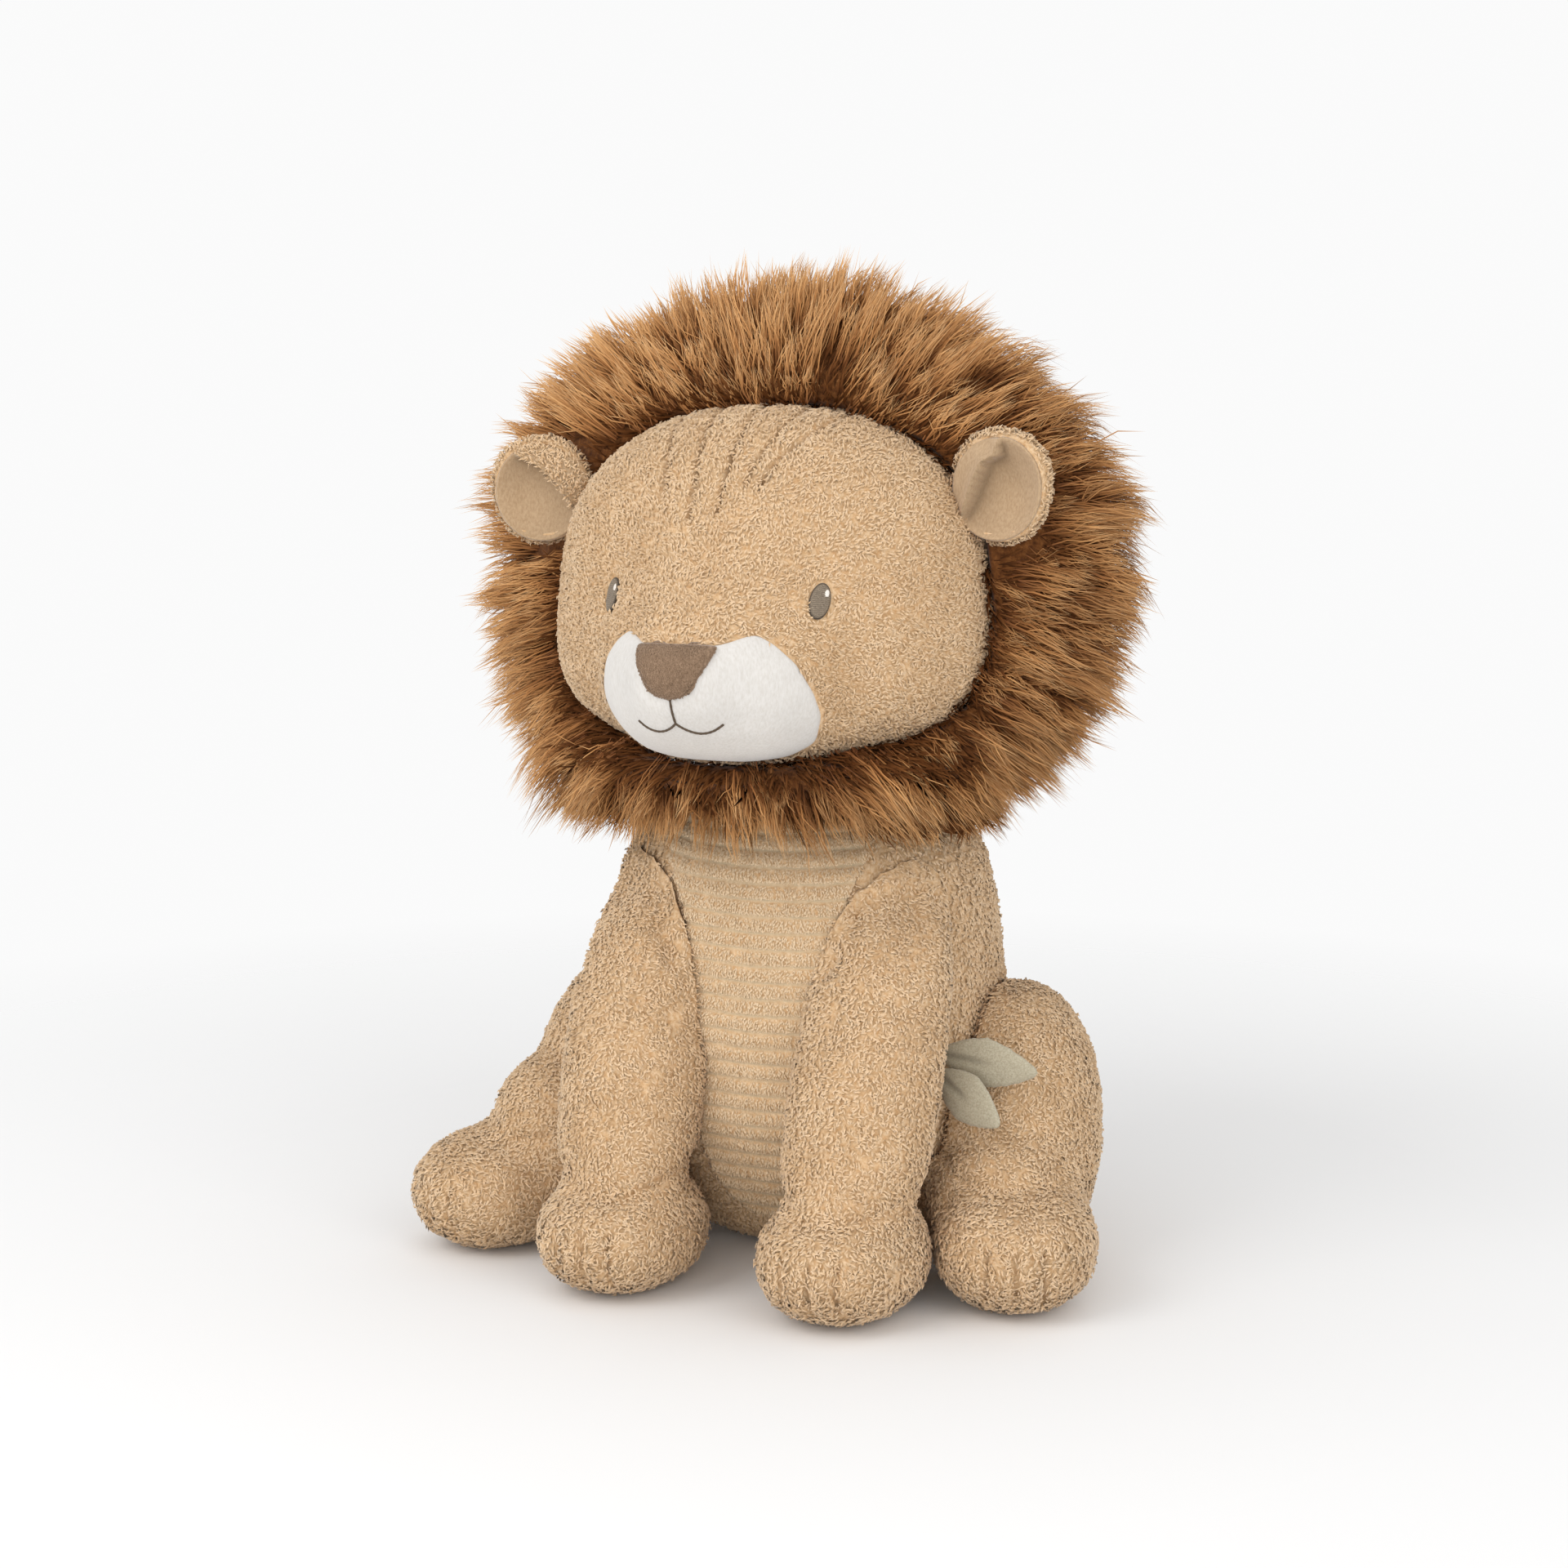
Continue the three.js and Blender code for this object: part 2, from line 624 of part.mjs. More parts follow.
function addMane(body) {
  const earRooms = [1, -1].flatMap((side) => [0, 1].map((share) => solidOf(turnedGeometry(
    stuffedForm(ear, { grow: 2 * sewnGap }).applyMatrix4(earPlace(side)),
    upright,
    -side * earFold * share,
    earHinge(side),
  ))));
  const fur = formSolid(mane).add(formSolid(fringe));
  const panelRoom = layerOn(head, frontPrism(head, muzzleOutline, sewnGap), -panelDepth, panelRise + sewnGap);
  const rooms = [headRoom, panelRoom, collarRoom(), neckSocket(), ...earRooms];
  addPiece(body, 'mane', subtractAll(fur, rooms), longFur);
}

// Front legs: a sleeve, its filling and a paw, hinged at the shoulder
function addFrontLeg(torsoBody, side, name) {
  const hinge = { x: side * frontLeg.x, y: frontLeg.y, z: shoulderHeight };
  const body = bodyAt(torsoBody, hinge.x, hinge.y, hinge.z);
  const swings = [0, 0.5, 1].flatMap((share) => [torsoRoom, geometryOf(bellyRoom)].map((room) => solidOf(
    turnedGeometry(room, level, frontLegSwing * share, hinge),
  )));
  const pawRoom = formSolid(frontPaw, { side, grow: sewnGap });
  const coarse = { side, sides: legCavitySides, rings: legCavityRings };
  const inside = (inset) => formSolid(frontLeg, { ...coarse, grow: -inset });
  const cover = subtractAll(formSolid(frontLeg, { side }), [...swings, pawRoom, inside(coverWall)]);
  const filling = subtractAll(inside(coverWall + sewnGap), [...swings, pawRoom]);
  addPiece(body, `front_leg_${name}`, cover, pile);
  addPiece(body, `front_leg_${name}_stuffing`, filling, fibreFill);
  addPiece(body, `front_paw_${name}`, formSolid(frontPaw, { side }).subtract(floorCut), pileShade);
}

// Hind legs: a haunch cover, its filling and a foot, hinged at the back of the hip
function footGeometry(leg, haunch, grow = 0) {
  const geometry = stuffedForm(foot, { grow });
  geometry.rotateZ(THREE.MathUtils.degToRad(leg.footTurn) * leg.side);
  geometry.translate(leg.side * (haunch.x + leg.footOut), haunch.y - leg.footForward, 0);
  return geometry;
}

function addHindLeg(torsoBody, leg) {
  const { name, side } = leg;
  const haunch = { ...thigh, x: thigh.x + leg.out, y: thigh.y - leg.forward };
  const hinge = { x: side * (thigh.x - hipInset), y: thigh.y + hipSetBack, z: 0 };
  const body = bodyAt(torsoBody, hinge.x, hinge.y, hinge.z);
  const splays = [0, 0.5, 1].map((share) => solidOf(
    turnedGeometry(torsoRoom, upright, -side * hipSplay * share, hinge),
  ));
  const footRoom = solidOf(footGeometry(leg, haunch, sewnGap));
  const shank = {
    ...shin, top: leg.shinTop,
    x: haunch.x + leg.footOut * shinShare, y: haunch.y - leg.footForward * shinShare,
  };
  const outside = formSolid(haunch, { side }).add(formSolid(shank, { side }));
  const coarse = { side, sides: thighCavitySides, rings: thighCavityRings };
  const inside = (inset) => formSolid(haunch, { ...coarse, grow: -inset })
    .add(formSolid(shank, { side, grow: -inset }));
  const cuts = [...splays, footRoom, floorCut];
  const cover = subtractAll(outside, [...cuts, inside(coverWall)]);
  addPiece(body, `hind_leg_${name}`, cover, pile);
  addPiece(body, `hind_leg_${name}_stuffing`, subtractAll(inside(coverWall + sewnGap), cuts), fibreFill);
  addPiece(body, `hind_foot_${name}`, solidOf(footGeometry(leg, haunch)).subtract(floorCut), pileShade);
}

// Leaves, each rooted on the torso's side and hinged there
function addLeaf(torsoBody, { name, heightShare, turn, tuck, long, heading }) {
  const root = formPoint(torso, Math.asin(2 * heightShare - 1), -THREE.MathUtils.degToRad(turn), -tuck, 1);
  const body = bodyAt(torsoBody, root.x, root.y, root.z);
  const along = new THREE.Vector3(...heading).normalize();
  const across = new THREE.Vector3().crossVectors(along, forward).normalize();
  const thick = new THREE.Vector3().crossVectors(along, across);
  const place = new THREE.Matrix4().makeBasis(across, thick, along).setPosition(root);
  const solid = solidOf(stuffedForm({ ...leaf, top: long * leaf.top }).applyMatrix4(place));
  const flaps = [0, 0.5, 1].map((share) => turnedGeometry(torsoRoom, upright, share * leafFlap, root));
  addPiece(body, name, subtractAll(solid, flaps.map(solidOf)), velourSage);
}

// Tail: a stuffed tube from the back of the rump, with a tuft of fur at its end
function addTail(torsoBody) {
  const root = formPoint(torso, Math.asin((2 * tailHeight) / torso.top - 1), Math.PI / 2, 0, 1);
  const body = bodyAt(torsoBody, root.x, root.y, root.z);
  const rest = tailRadius + tailRest;
  const route = new THREE.CatmullRomCurve3(tailRouteShares.map(([across, back, up]) => new THREE.Vector3(
    -across * tailReach,
    root.y + back * tailBow,
    rest + up * (tailHeight - rest),
  )));
  const round = new THREE.Shape().absarc(0, 0, tailRadius, 0, 2 * Math.PI);
  const tube = new THREE.ExtrudeGeometry(new THREE.Shape(round.getPoints(tailSides / 2)), {
    steps: tailSteps, extrudePath: route, bevelEnabled: false,
  });
  const end = route.getPoint(1);
  const along = route.getTangent(1);
  const across = new THREE.Vector3().crossVectors(upright, along).normalize();
  const thick = new THREE.Vector3().crossVectors(along, across);
  const start = end.clone().addScaledVector(along, -tuftOverlap);
  const place = new THREE.Matrix4().makeBasis(across, thick, along).setPosition(start);
  const tail = solidOf(tube);
  const swings = [-1, 0, 1].map((share) => turnedGeometry(torsoRoom, upright, share * tailSwing, root));
  const tailSolid = subtractAll(tail, swings.map(solidOf));
  addPiece(body, 'tail', tailSolid, pile);
  addPiece(body, 'tail_tuft', solidOf(stuffedForm(tuft).applyMatrix4(place)).subtract(tailSolid), longFur);
}

const torsoBody = addTorso();
const neckBody = bodyAt(torsoBody, 0, neckY, neckPivotHeight);
addPiece(neckBody, 'neck', neck, fibreFill);
const headBody = bodyAt(neckBody, 0, neckY, neckPivotHeight);
addHead(headBody);
addMane(headBody);
for (const [name, side] of [['left', 1], ['right', -1]]) {
  addEar(headBody, side, `ear_${name}`);
  addFrontLeg(torsoBody, side, name);
}
hindLegs.forEach((leg) => addHindLeg(torsoBody, leg));
leaves.forEach((spec) => addLeaf(torsoBody, spec));
addTail(torsoBody);

export default lion;
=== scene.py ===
import json
import math

import bpy
import bmesh
import numpy as np
from mathutils import Matrix, Vector
from mathutils.bvhtree import BVHTree


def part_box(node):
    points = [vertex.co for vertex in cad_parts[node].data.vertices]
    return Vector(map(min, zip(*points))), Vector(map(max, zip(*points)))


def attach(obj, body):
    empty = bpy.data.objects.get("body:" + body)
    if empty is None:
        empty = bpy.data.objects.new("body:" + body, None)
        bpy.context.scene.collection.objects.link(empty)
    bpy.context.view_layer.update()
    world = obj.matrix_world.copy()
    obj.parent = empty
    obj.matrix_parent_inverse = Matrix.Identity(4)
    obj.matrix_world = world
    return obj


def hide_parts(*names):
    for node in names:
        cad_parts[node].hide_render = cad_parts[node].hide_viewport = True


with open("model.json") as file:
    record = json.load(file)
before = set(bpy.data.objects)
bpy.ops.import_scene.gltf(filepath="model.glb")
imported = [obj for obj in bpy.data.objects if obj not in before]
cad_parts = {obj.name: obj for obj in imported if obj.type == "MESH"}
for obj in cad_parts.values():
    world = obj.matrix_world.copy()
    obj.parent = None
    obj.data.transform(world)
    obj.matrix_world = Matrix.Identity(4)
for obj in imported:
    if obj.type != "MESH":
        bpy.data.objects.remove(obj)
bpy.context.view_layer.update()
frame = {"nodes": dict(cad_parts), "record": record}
cad = frame["nodes"]
print("stage: frame loaded,", len(cad), "nodes")


def tint(red, green, blue):
    def straight(c):
        c /= 255
        return c / 12.92 if c <= 0.04045 else ((c + 0.055) / 1.055) ** 2.4
    return (straight(red), straight(green), straight(blue), 1)


def selectOnly(*objects):
    bpy.ops.object.select_all(action="DESELECT")
    for item in objects:
        item.select_set(True)
    bpy.context.view_layer.objects.active = objects[0]


def applyModifier(piece, kind, **settings):
    selectOnly(piece)
    modifier = piece.modifiers.new(kind.lower(), kind)
    for key, value in settings.items():
        setattr(modifier, key, value)
    bpy.ops.object.modifier_apply(modifier=modifier.name)


def vertexPlaces(piece):
    places = np.empty(len(piece.data.vertices) * 3, np.float32)
    piece.data.vertices.foreach_get("co", places)
    return places.reshape(-1, 3).astype(float)


def setPlaces(piece, places):
    piece.data.vertices.foreach_set("co", np.asarray(places, np.float32).ravel())
    piece.data.update()


def vertexNormals(piece):
    normals = np.empty(len(piece.data.vertices) * 3, np.float32)
    piece.data.vertex_normals.foreach_get("vector", normals)
    return normals.reshape(-1, 3).astype(float)


def triangles(piece):
    piece.data.calc_loop_triangles()
    found = np.empty(len(piece.data.loop_triangles) * 3, np.int32)
    piece.data.loop_triangles.foreach_get("vertices", found)
    return found.reshape(-1, 3)


def treeOf(*pieces):
    points, faces = [], []
    for piece in pieces:
        start = len(points)
        points.extend(Vector(p) for p in vertexPlaces(piece))
        faces.extend(tuple(int(i) + start for i in face) for face in triangles(piece))
    return BVHTree.FromPolygons(points, faces, all_triangles=True)


def depthIn(tree, places):
    # distance to the surface, positive inside it
    depths = np.empty(len(places))
    for i, place in enumerate(places):
        spot = Vector(place)
        hit, normal, _, gap = tree.find_nearest(spot)
        depths[i] = gap if (spot - hit).dot(normal) < 0 else -gap
    return depths


def unit(vectors):
    return vectors / np.maximum(np.linalg.norm(vectors, axis=-1, keepdims=True), 1e-9)


def softStep(value, low, high):
    share = np.clip((value - low) / (high - low), 0, 1)
    return share * share * (3 - 2 * share)


def ripple(places, length, seed):
    # smooth wandering value from -1 to 1 with bumps about this long
    draw = np.random.default_rng(seed)
    total = np.zeros(len(places))
    for _ in range(5):
        wave = draw.normal(size=3)
        wave *= 2 * math.pi / (length * draw.uniform(0.8, 1.5)) / np.linalg.norm(wave)
        total += np.sin(places @ wave + draw.uniform(0, 6.28))
    return total / 3.2


def newPiece(name, places, faces):
    mesh = bpy.data.meshes.new(name)
    mesh.from_pydata([tuple(p) for p in places], [], faces)
    mesh.validate()
    piece = bpy.data.objects.new(name, mesh)
    bpy.context.collection.objects.link(piece)
    return piece


def editMesh(operator, **settings):
    # runs a mesh operator on all of the active piece
    bpy.ops.object.mode_set(mode="EDIT")
    bpy.ops.mesh.select_all(action="SELECT")
    operator(**settings)
    bpy.ops.object.mode_set(mode="OBJECT")


def dropMaps(piece):
    for layer in list(piece.data.uv_layers):
        piece.data.uv_layers.remove(layer)


def mergedCopy(name, nodes):
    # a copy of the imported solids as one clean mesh, to start a soft piece from
    copies = []
    for node in nodes:
        piece = bpy.data.objects.new(name, cad[node].data.copy())
        bpy.context.collection.objects.link(piece)
        piece.data.materials.clear()
        copies.append(piece)
    selectOnly(*copies)
    if len(copies) > 1:
        bpy.ops.object.join()
    piece = bpy.context.view_layer.objects.active
    piece.name = name
    editMesh(bpy.ops.mesh.remove_doubles, threshold=0.00001)
    dropMaps(piece)
    return piece


def keepLargest(piece):
    bm = bmesh.new()
    bm.from_mesh(piece.data)
    bm.verts.ensure_lookup_table()
    left, groups = set(range(len(bm.verts))), []
    while left:
        front = [left.pop()]
        group = set(front)
        while front:
            vert = bm.verts[front.pop()]
            for edge in vert.link_edges:
                other = edge.other_vert(vert).index
                if other in left:
                    left.discard(other)
                    group.add(other)
                    front.append(other)
        groups.append(group)
    largest = max(groups, key=len)
    spare = [v for v in bm.verts if v.index not in largest]
    bmesh.ops.delete(bm, geom=spare, context="VERTS")
    bm.to_mesh(piece.data)
    bm.free()


def softShell(name, nodes, voxel, smoothTurns, grow=0.0):
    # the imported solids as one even, softened mesh, grown or shrunk a little
    piece = mergedCopy(name, nodes)
    applyModifier(piece, "REMESH", mode="VOXEL", voxel_size=voxel)
    keepLargest(piece)
    applyModifier(piece, "SMOOTH", factor=0.5, iterations=smoothTurns)
    if grow:
        setPlaces(piece, vertexPlaces(piece) + vertexNormals(piece) * grow)
    piece.data.shade_smooth()
    return piece


# materials

white = (1, 1, 1)


def newMaterial(name, roughness, sheen=0.0, specular=0.3):
    material = bpy.data.materials.new(name)
    material.use_nodes = True
    shader = material.node_tree.nodes["Principled BSDF"]
    shader.inputs["Roughness"].default_value = roughness
    shader.inputs["Sheen Weight"].default_value = sheen
    shader.inputs["Sheen Roughness"].default_value = 0.5
    shader.inputs["Specular IOR Level"].default_value = specular
    return material, material.node_tree.nodes, material.node_tree.links, shader


def addNode(nodes, kind, **inputs):
    node = nodes.new(kind)
    for key, value in inputs.items():
        node.inputs[key].default_value = value
    return node


def addRamp(nodes, links, source, stops):
    ramp = nodes.new("ShaderNodeValToRGB")
    elements = ramp.color_ramp.elements
    while len(elements) < len(stops):
        elements.new(0.5)
    for element, (place, colour) in zip(elements, stops):
        element.position = place
        element.color = (*colour[:3], 1)
    links.new(source, ramp.inputs["Fac"])
    return ramp


def mixColours(nodes, links, blend, share, first, second):
    mix = nodes.new("ShaderNodeMix")
    mix.data_type = "RGBA"
    mix.blend_type = blend
    for slot, value in ((0, share), (6, first), (7, second)):
        if hasattr(value, "is_linked"):
            links.new(value, mix.inputs[slot])
        else:
            mix.inputs[slot].default_value = value
    return mix.outputs[2]


def addBump(nodes, links, shader, height, strength, distance):
    bump = addNode(nodes, "ShaderNodeBump", Strength=strength, Distance=distance)
    links.new(height, bump.inputs["Height"])
    links.new(bump.outputs["Normal"], shader.inputs["Normal"])


def noiseOn(nodes, links, coordinates, scale, detail=2.0, stretch=None):
    noise = addNode(nodes, "ShaderNodeTexNoise", Scale=scale, Detail=detail, Roughness=0.6)
    if stretch:
        mapping = addNode(nodes, "ShaderNodeMapping", Scale=stretch)
        links.new(coordinates, mapping.inputs["Vector"])
        coordinates = mapping.outputs["Vector"]
    links.new(coordinates, noise.inputs["Vector"])
    return noise.outputs["Fac"]


def objectPlace(nodes):
    return nodes.new("ShaderNodeTexCoord").outputs["Object"]


def darkSeamsAndShade(nodes, links, colour, dark):
    # the colour turns to the dark one where the piece's own value for seams and painted shade rises
    seamAndShade = nodes.new("ShaderNodeAttribute")
    seamAndShade.attribute_name = "seamAndShade"
    return mixColours(nodes, links, "MIX", seamAndShade.outputs["Fac"], colour, dark)


pileLook = {
    "root": tint(196, 154, 109), "middle": tint(214, 179, 138), "tip": tint(232, 203, 167),
    "seamAndShade": tint(112, 84, 56), "patch": 45.0, "patchShade": (0.82, 0.82, 0.82), "fleck": 420.0,
    "sheen": 0.15, "bump": 0.7, "bumpDepth": 0.0012,
}


def pileClothMaterial(name, look):
    # the backing under the tufts, darker than their tips
    material, nodes, links, shader = newMaterial(name, 1.0, look["sheen"], 0.1)
    place = objectPlace(nodes)
    fleck = noiseOn(nodes, links, place, look["fleck"], 3)
    patch = noiseOn(nodes, links, place, look["patch"])
    base = addRamp(nodes, links, fleck, [(0.3, look["root"]), (0.5, look["middle"]), (0.72, look["tip"])])
    shade = addRamp(nodes, links, patch, [(0.3, look["patchShade"]), (0.7, white)])
    colour = mixColours(nodes, links, "MULTIPLY", 1.0, base.outputs["Color"], shade.outputs["Color"])
    # seams turn darker: partly their own colour, partly painted shade in their grooves
    links.new(darkSeamsAndShade(nodes, links, colour, look["seamAndShade"]), shader.inputs["Base Color"])
    addBump(nodes, links, shader, fleck, look["bump"], look["bumpDepth"])
    return material


def strandMaterial(name, look):
    # colour from the strand's own map: u is its tone, v runs from root to tip
    material, nodes, links, shader = newMaterial(name, *look["finish"])
    along = nodes.new("ShaderNodeUVMap")
    along.uv_map = "OFBake"
    parts = nodes.new("ShaderNodeSeparateXYZ")
    links.new(along.outputs["UV"], parts.inputs["Vector"])
    length = addRamp(nodes, links, parts.outputs["Y"], look["along"])
    tone = addRamp(nodes, links, parts.outputs["X"], look["tones"])
    colour = mixColours(nodes, links, "MULTIPLY", 1.0, length.outputs["Color"], tone.outputs["Color"])
    links.new(colour, shader.inputs["Base Color"])
    return material


velourLook = {
    "sheen": 0.3, "specular": 0.2, "cloud": 30.0, "cloudShade": (0.93, 0.93, 0.93), "paintedShadeShare": 0.45,
    "bump": 0.4, "bumpDepth": 0.0004,
}


def velourMaterial(name, base, shade, nap, fine):
    material, nodes, links, shader = newMaterial(name, 0.9, velourLook["sheen"], velourLook["specular"])
    place = objectPlace(nodes)
    weave = noiseOn(nodes, links, place, fine, stretch=nap)
    cloud = noiseOn(nodes, links, place, velourLook["cloud"])
    colour = addRamp(nodes, links, weave, [(0.3, shade), (0.65, base)])
    soft = addRamp(nodes, links, cloud, [(0.3, velourLook["cloudShade"]), (0.7, white)])
    mixed = mixColours(nodes, links, "MULTIPLY", 1.0, colour.outputs["Color"], soft.outputs["Color"])
    # the dark colour is painted shade, laid under an ear's fold and down a leaf's crease
    dark = tuple(c * velourLook["paintedShadeShare"] for c in shade[:3]) + (1,)
    links.new(darkSeamsAndShade(nodes, links, mixed, dark), shader.inputs["Base Color"])
    addBump(nodes, links, shader, weave, velourLook["bump"], velourLook["bumpDepth"])
    return material


threadLook = {
    "sheen": 0.1, "specular": 0.4, "twist": 1400.0, "stretch": (1, 1, 3), "rimAndShadeShare": 0.30,
    "bump": 0.5, "bumpDepth": 0.0003,
}


def threadMaterial(name, base, shade):
    material, nodes, links, shader = newMaterial(name, 0.55, threadLook["sheen"], threadLook["specular"])
    twist = noiseOn(nodes, links, objectPlace(nodes), threadLook["twist"], stretch=threadLook["stretch"])
    colour = addRamp(nodes, links, twist, [(0.35, shade), (0.62, base)])
    # the dark colour is the eye's darker rim thread, and painted shade between its thread rows
    dark = tuple(c * threadLook["rimAndShadeShare"] for c in shade[:3]) + (1,)
    links.new(darkSeamsAndShade(nodes, links, colour.outputs["Color"], dark), shader.inputs["Base Color"])
    addBump(nodes, links, shader, twist, threadLook["bump"], threadLook["bumpDepth"])
    return material


# finish is roughness, sheen and specular
strandLooks = {
    "pileStrand": {
        "along": [(0.0, tint(190, 147, 101)), (0.4, tint(219, 185, 144)), (1.0, tint(241, 215, 184))],
        "tones": [(0.0, (0.82, 0.76, 0.69)), (0.5, (0.95, 0.93, 0.91)), (1.0, white)],
        "finish": (1.0, 0.1, 0.1),
    },
    "ribStrand": {
        "along": [(0.0, tint(190, 156, 116)), (0.4, tint(223, 192, 154)), (1.0, tint(244, 223, 192))],
        "tones": [(0.0, (0.84, 0.81, 0.77)), (0.5, (0.96, 0.95, 0.94)), (1.0, white)],
        "finish": (1.0, 0.1, 0.1),
    },
    "noseStrand": {
        "along": [(0.0, tint(112, 88, 68)), (0.5, tint(148, 121, 98)), (1.0, tint(176, 150, 124))],
        "tones": [(0.0, (0.75, 0.74, 0.72)), (0.5, (0.92, 0.92, 0.92)), (1.0, white)],
        "finish": (1.0, 0.1, 0.1),
    },
    "maneStrand": {
        "along": [(0.0, tint(122, 72, 32)), (0.35, tint(176, 122, 70)),
                  (0.75, tint(208, 158, 103)), (1.0, tint(230, 192, 144))],
        "tones": [(0.0, (0.38, 0.31, 0.25)), (0.4, (0.70, 0.64, 0.58)),
                  (0.8, (1.0, 0.98, 0.96)), (1.0, white)],
        "finish": (0.65, 0.0, 0.2),
    },
    "maneUnder": {
        "along": [(0.0, tint(52, 26, 10)), (0.5, tint(96, 56, 26)), (1.0, tint(132, 84, 44))],
        "tones": [(0.0, (0.60, 0.56, 0.52)), (0.5, (0.85, 0.84, 0.83)), (1.0, white)],
        "finish": (0.8, 0.0, 0.1),
    },
}
strandCloth = {name: strandMaterial(name, look) for name, look in strandLooks.items()}
pileCloth = pileClothMaterial("pileCloth", pileLook)
ribCloth = pileClothMaterial("ribCloth", dict(pileLook, seamAndShade=tint(192, 172, 142)))
maneCloth = pileClothMaterial("maneCloth", dict(
    pileLook, root=tint(78, 44, 20), middle=tint(112, 68, 34), tip=tint(142, 92, 50),
    fleck=300.0, seamAndShade=tint(40, 20, 10)))
whiteVelour = velourMaterial("whiteVelour", tint(217, 213, 208), tint(206, 201, 194), (1, 1, 0.35), 800.0)
noseVelour = velourMaterial("noseVelour", tint(160, 133, 108), tint(112, 88, 68), (1, 1, 0.5), 1100.0)
earVelour = velourMaterial("earVelour", tint(190, 162, 129), tint(171, 142, 109), (1, 1, 0.5), 900.0)
sageVelour = velourMaterial("sageVelour", tint(186, 178, 156), tint(160, 151, 129), (1, 1, 1), 1000.0)
mouthThread = threadMaterial("mouthThread", tint(92, 74, 54), tint(58, 44, 30))
eyeThread = threadMaterial("eyeThread", tint(150, 134, 114), tint(96, 82, 66))
eyeGlint = threadMaterial("eyeGlint", tint(238, 232, 224), tint(212, 204, 194))
print("stage: materials made")


# stuffed covers

coverLook = {
    "voxel": 0.0055, "smoothTurns": 6, "sink": 0.0012, "pressure": 4.0, "quality": 4, "steps": 20,
    "swell": 0.003, "heldWithin": 0.002, "freeFrom": 0.012, "fill": 0.8,
}
coverNodes = {
    "torsoCover": ("torso_cover", "torso_stuffing", "pellet_bag"),
    "headCover": ("head_cover", "head_stuffing"),
}
coverBody = {"torsoCover": "torso", "headCover": "head"}
for kind, leg, foot in (("frontLeg", "front_leg", "front_paw"), ("hindLeg", "hind_leg", "hind_foot")):
    for side in ("left", "right"):
        name, body = kind + side.capitalize(), f"{leg}_{side}"
        coverNodes[name] = (body, f"{body}_stuffing", f"{foot}_{side}")
        coverBody[name] = body
coverPanels = {"torsoCover": ("belly_panel",), "headCover": ("muzzle_panel",)}
covers = {name: softShell(name, (*nodes, *coverPanels.get(name, ())), coverLook["voxel"],
                          coverLook["smoothTurns"], -coverLook["sink"])
          for name, nodes in coverNodes.items()}

shoulder = {
    "low": 0.170, "high": 0.245, "proud": 0.060, "flat": 0.0020, "reachFrom": 0.195, "reach": 1.45,
    "innerFrom": 0.0040, "innerOver": 0.0030, "under": 0.0045, "sinkFrom": 0.246, "sinkTo": 0.286,
    "sink": 0.0045, "easeFrom": 0.150, "easeTo": 0.190, "easeTurns": 7,
}
farShoulder = {"swell": 0.009, "height": 0.258, "spread": 0.040, "from": 0.055, "to": 0.105}
chest = treeOf(cad["torso_cover"], cad["belly_panel"])


def easeShoulder(piece):
    # the top of a front leg lies down onto the chest and ends inside it
    places = vertexPlaces(piece)
    above = np.maximum(places[:, 2] - shoulder["reachFrom"], 0)
    places[:, 2] += above * (shoulder["reach"] - 1)
    high = softStep(places[:, 2], shoulder["low"], shoulder["high"])
    limits = shoulder["proud"] * (1 - high) ** 1.5 + shoulder["flat"]
    ends = softStep(places[:, 2], shoulder["sinkFrom"], shoulder["sinkTo"])
    for i in np.flatnonzero(high > 0):
        spot = Vector(places[i])
        hit, normal, _, gap = chest.find_nearest(spot)
        outside = math.copysign(gap, (spot - hit).dot(normal))
        inner = min(max((shoulder["innerFrom"] - outside) / shoulder["innerOver"], 0), 1) * high[i]
        proud = limits[i] * math.tanh(outside / limits[i])
        proud -= inner * shoulder["under"] + ends[i] * (proud + shoulder["sink"]) * (1 - inner)
        places[i] = np.array(hit + normal * proud)
    setPlaces(piece, places)
    eased = piece.vertex_groups.new(name="eased")
    for i, share in enumerate(softStep(vertexPlaces(piece)[:, 2], shoulder["easeFrom"], shoulder["easeTo"])):
        eased.add([i], float(share), "REPLACE")
    applyModifier(piece, "SMOOTH", factor=0.5, iterations=shoulder["easeTurns"], vertex_group="eased")
    piece.vertex_groups.clear()


def swellFarShoulder(piece):
    # the lion's right shoulder is the fuller one
    places = vertexPlaces(piece)
    share = np.exp(-((places[:, 2] - farShoulder["height"]) / farShoulder["spread"]) ** 2)
    share *= softStep(-places[:, 0], farShoulder["from"], farShoulder["to"])
    places[:, 0] -= farShoulder["swell"] * share
    setPlaces(piece, places)


for name in ("frontLegLeft", "frontLegRight"):
    easeShoulder(covers[name])
for name in ("torsoCover", "frontLegRight"):
    swellFarShoulder(covers[name])
coverRest = {name: vertexPlaces(piece) for name, piece in covers.items()}
print("stage: covers cut,", sum(len(p.data.vertices) for p in covers.values()), "points")

for piece in covers.values():
    cloth = piece.modifiers.new("stuffing", "CLOTH")
    cloth.settings.use_pressure = True
    cloth.settings.uniform_pressure_force = coverLook["pressure"]
    cloth.settings.effector_weights.gravity = 0
    cloth.settings.quality = coverLook["quality"]
    cloth.collision_settings.use_collision = False
    cloth.point_cache.frame_end = coverLook["steps"]
for step in range(1, coverLook["steps"] + 1):
    bpy.context.scene.frame_set(step)
for piece in covers.values():
    selectOnly(piece)
    bpy.ops.object.modifier_apply(modifier="stuffing")
bpy.context.scene.frame_set(1)


def aboveFloor(places):
    places[:, 2] = np.maximum(places[:, 2], 0.0)
    return places


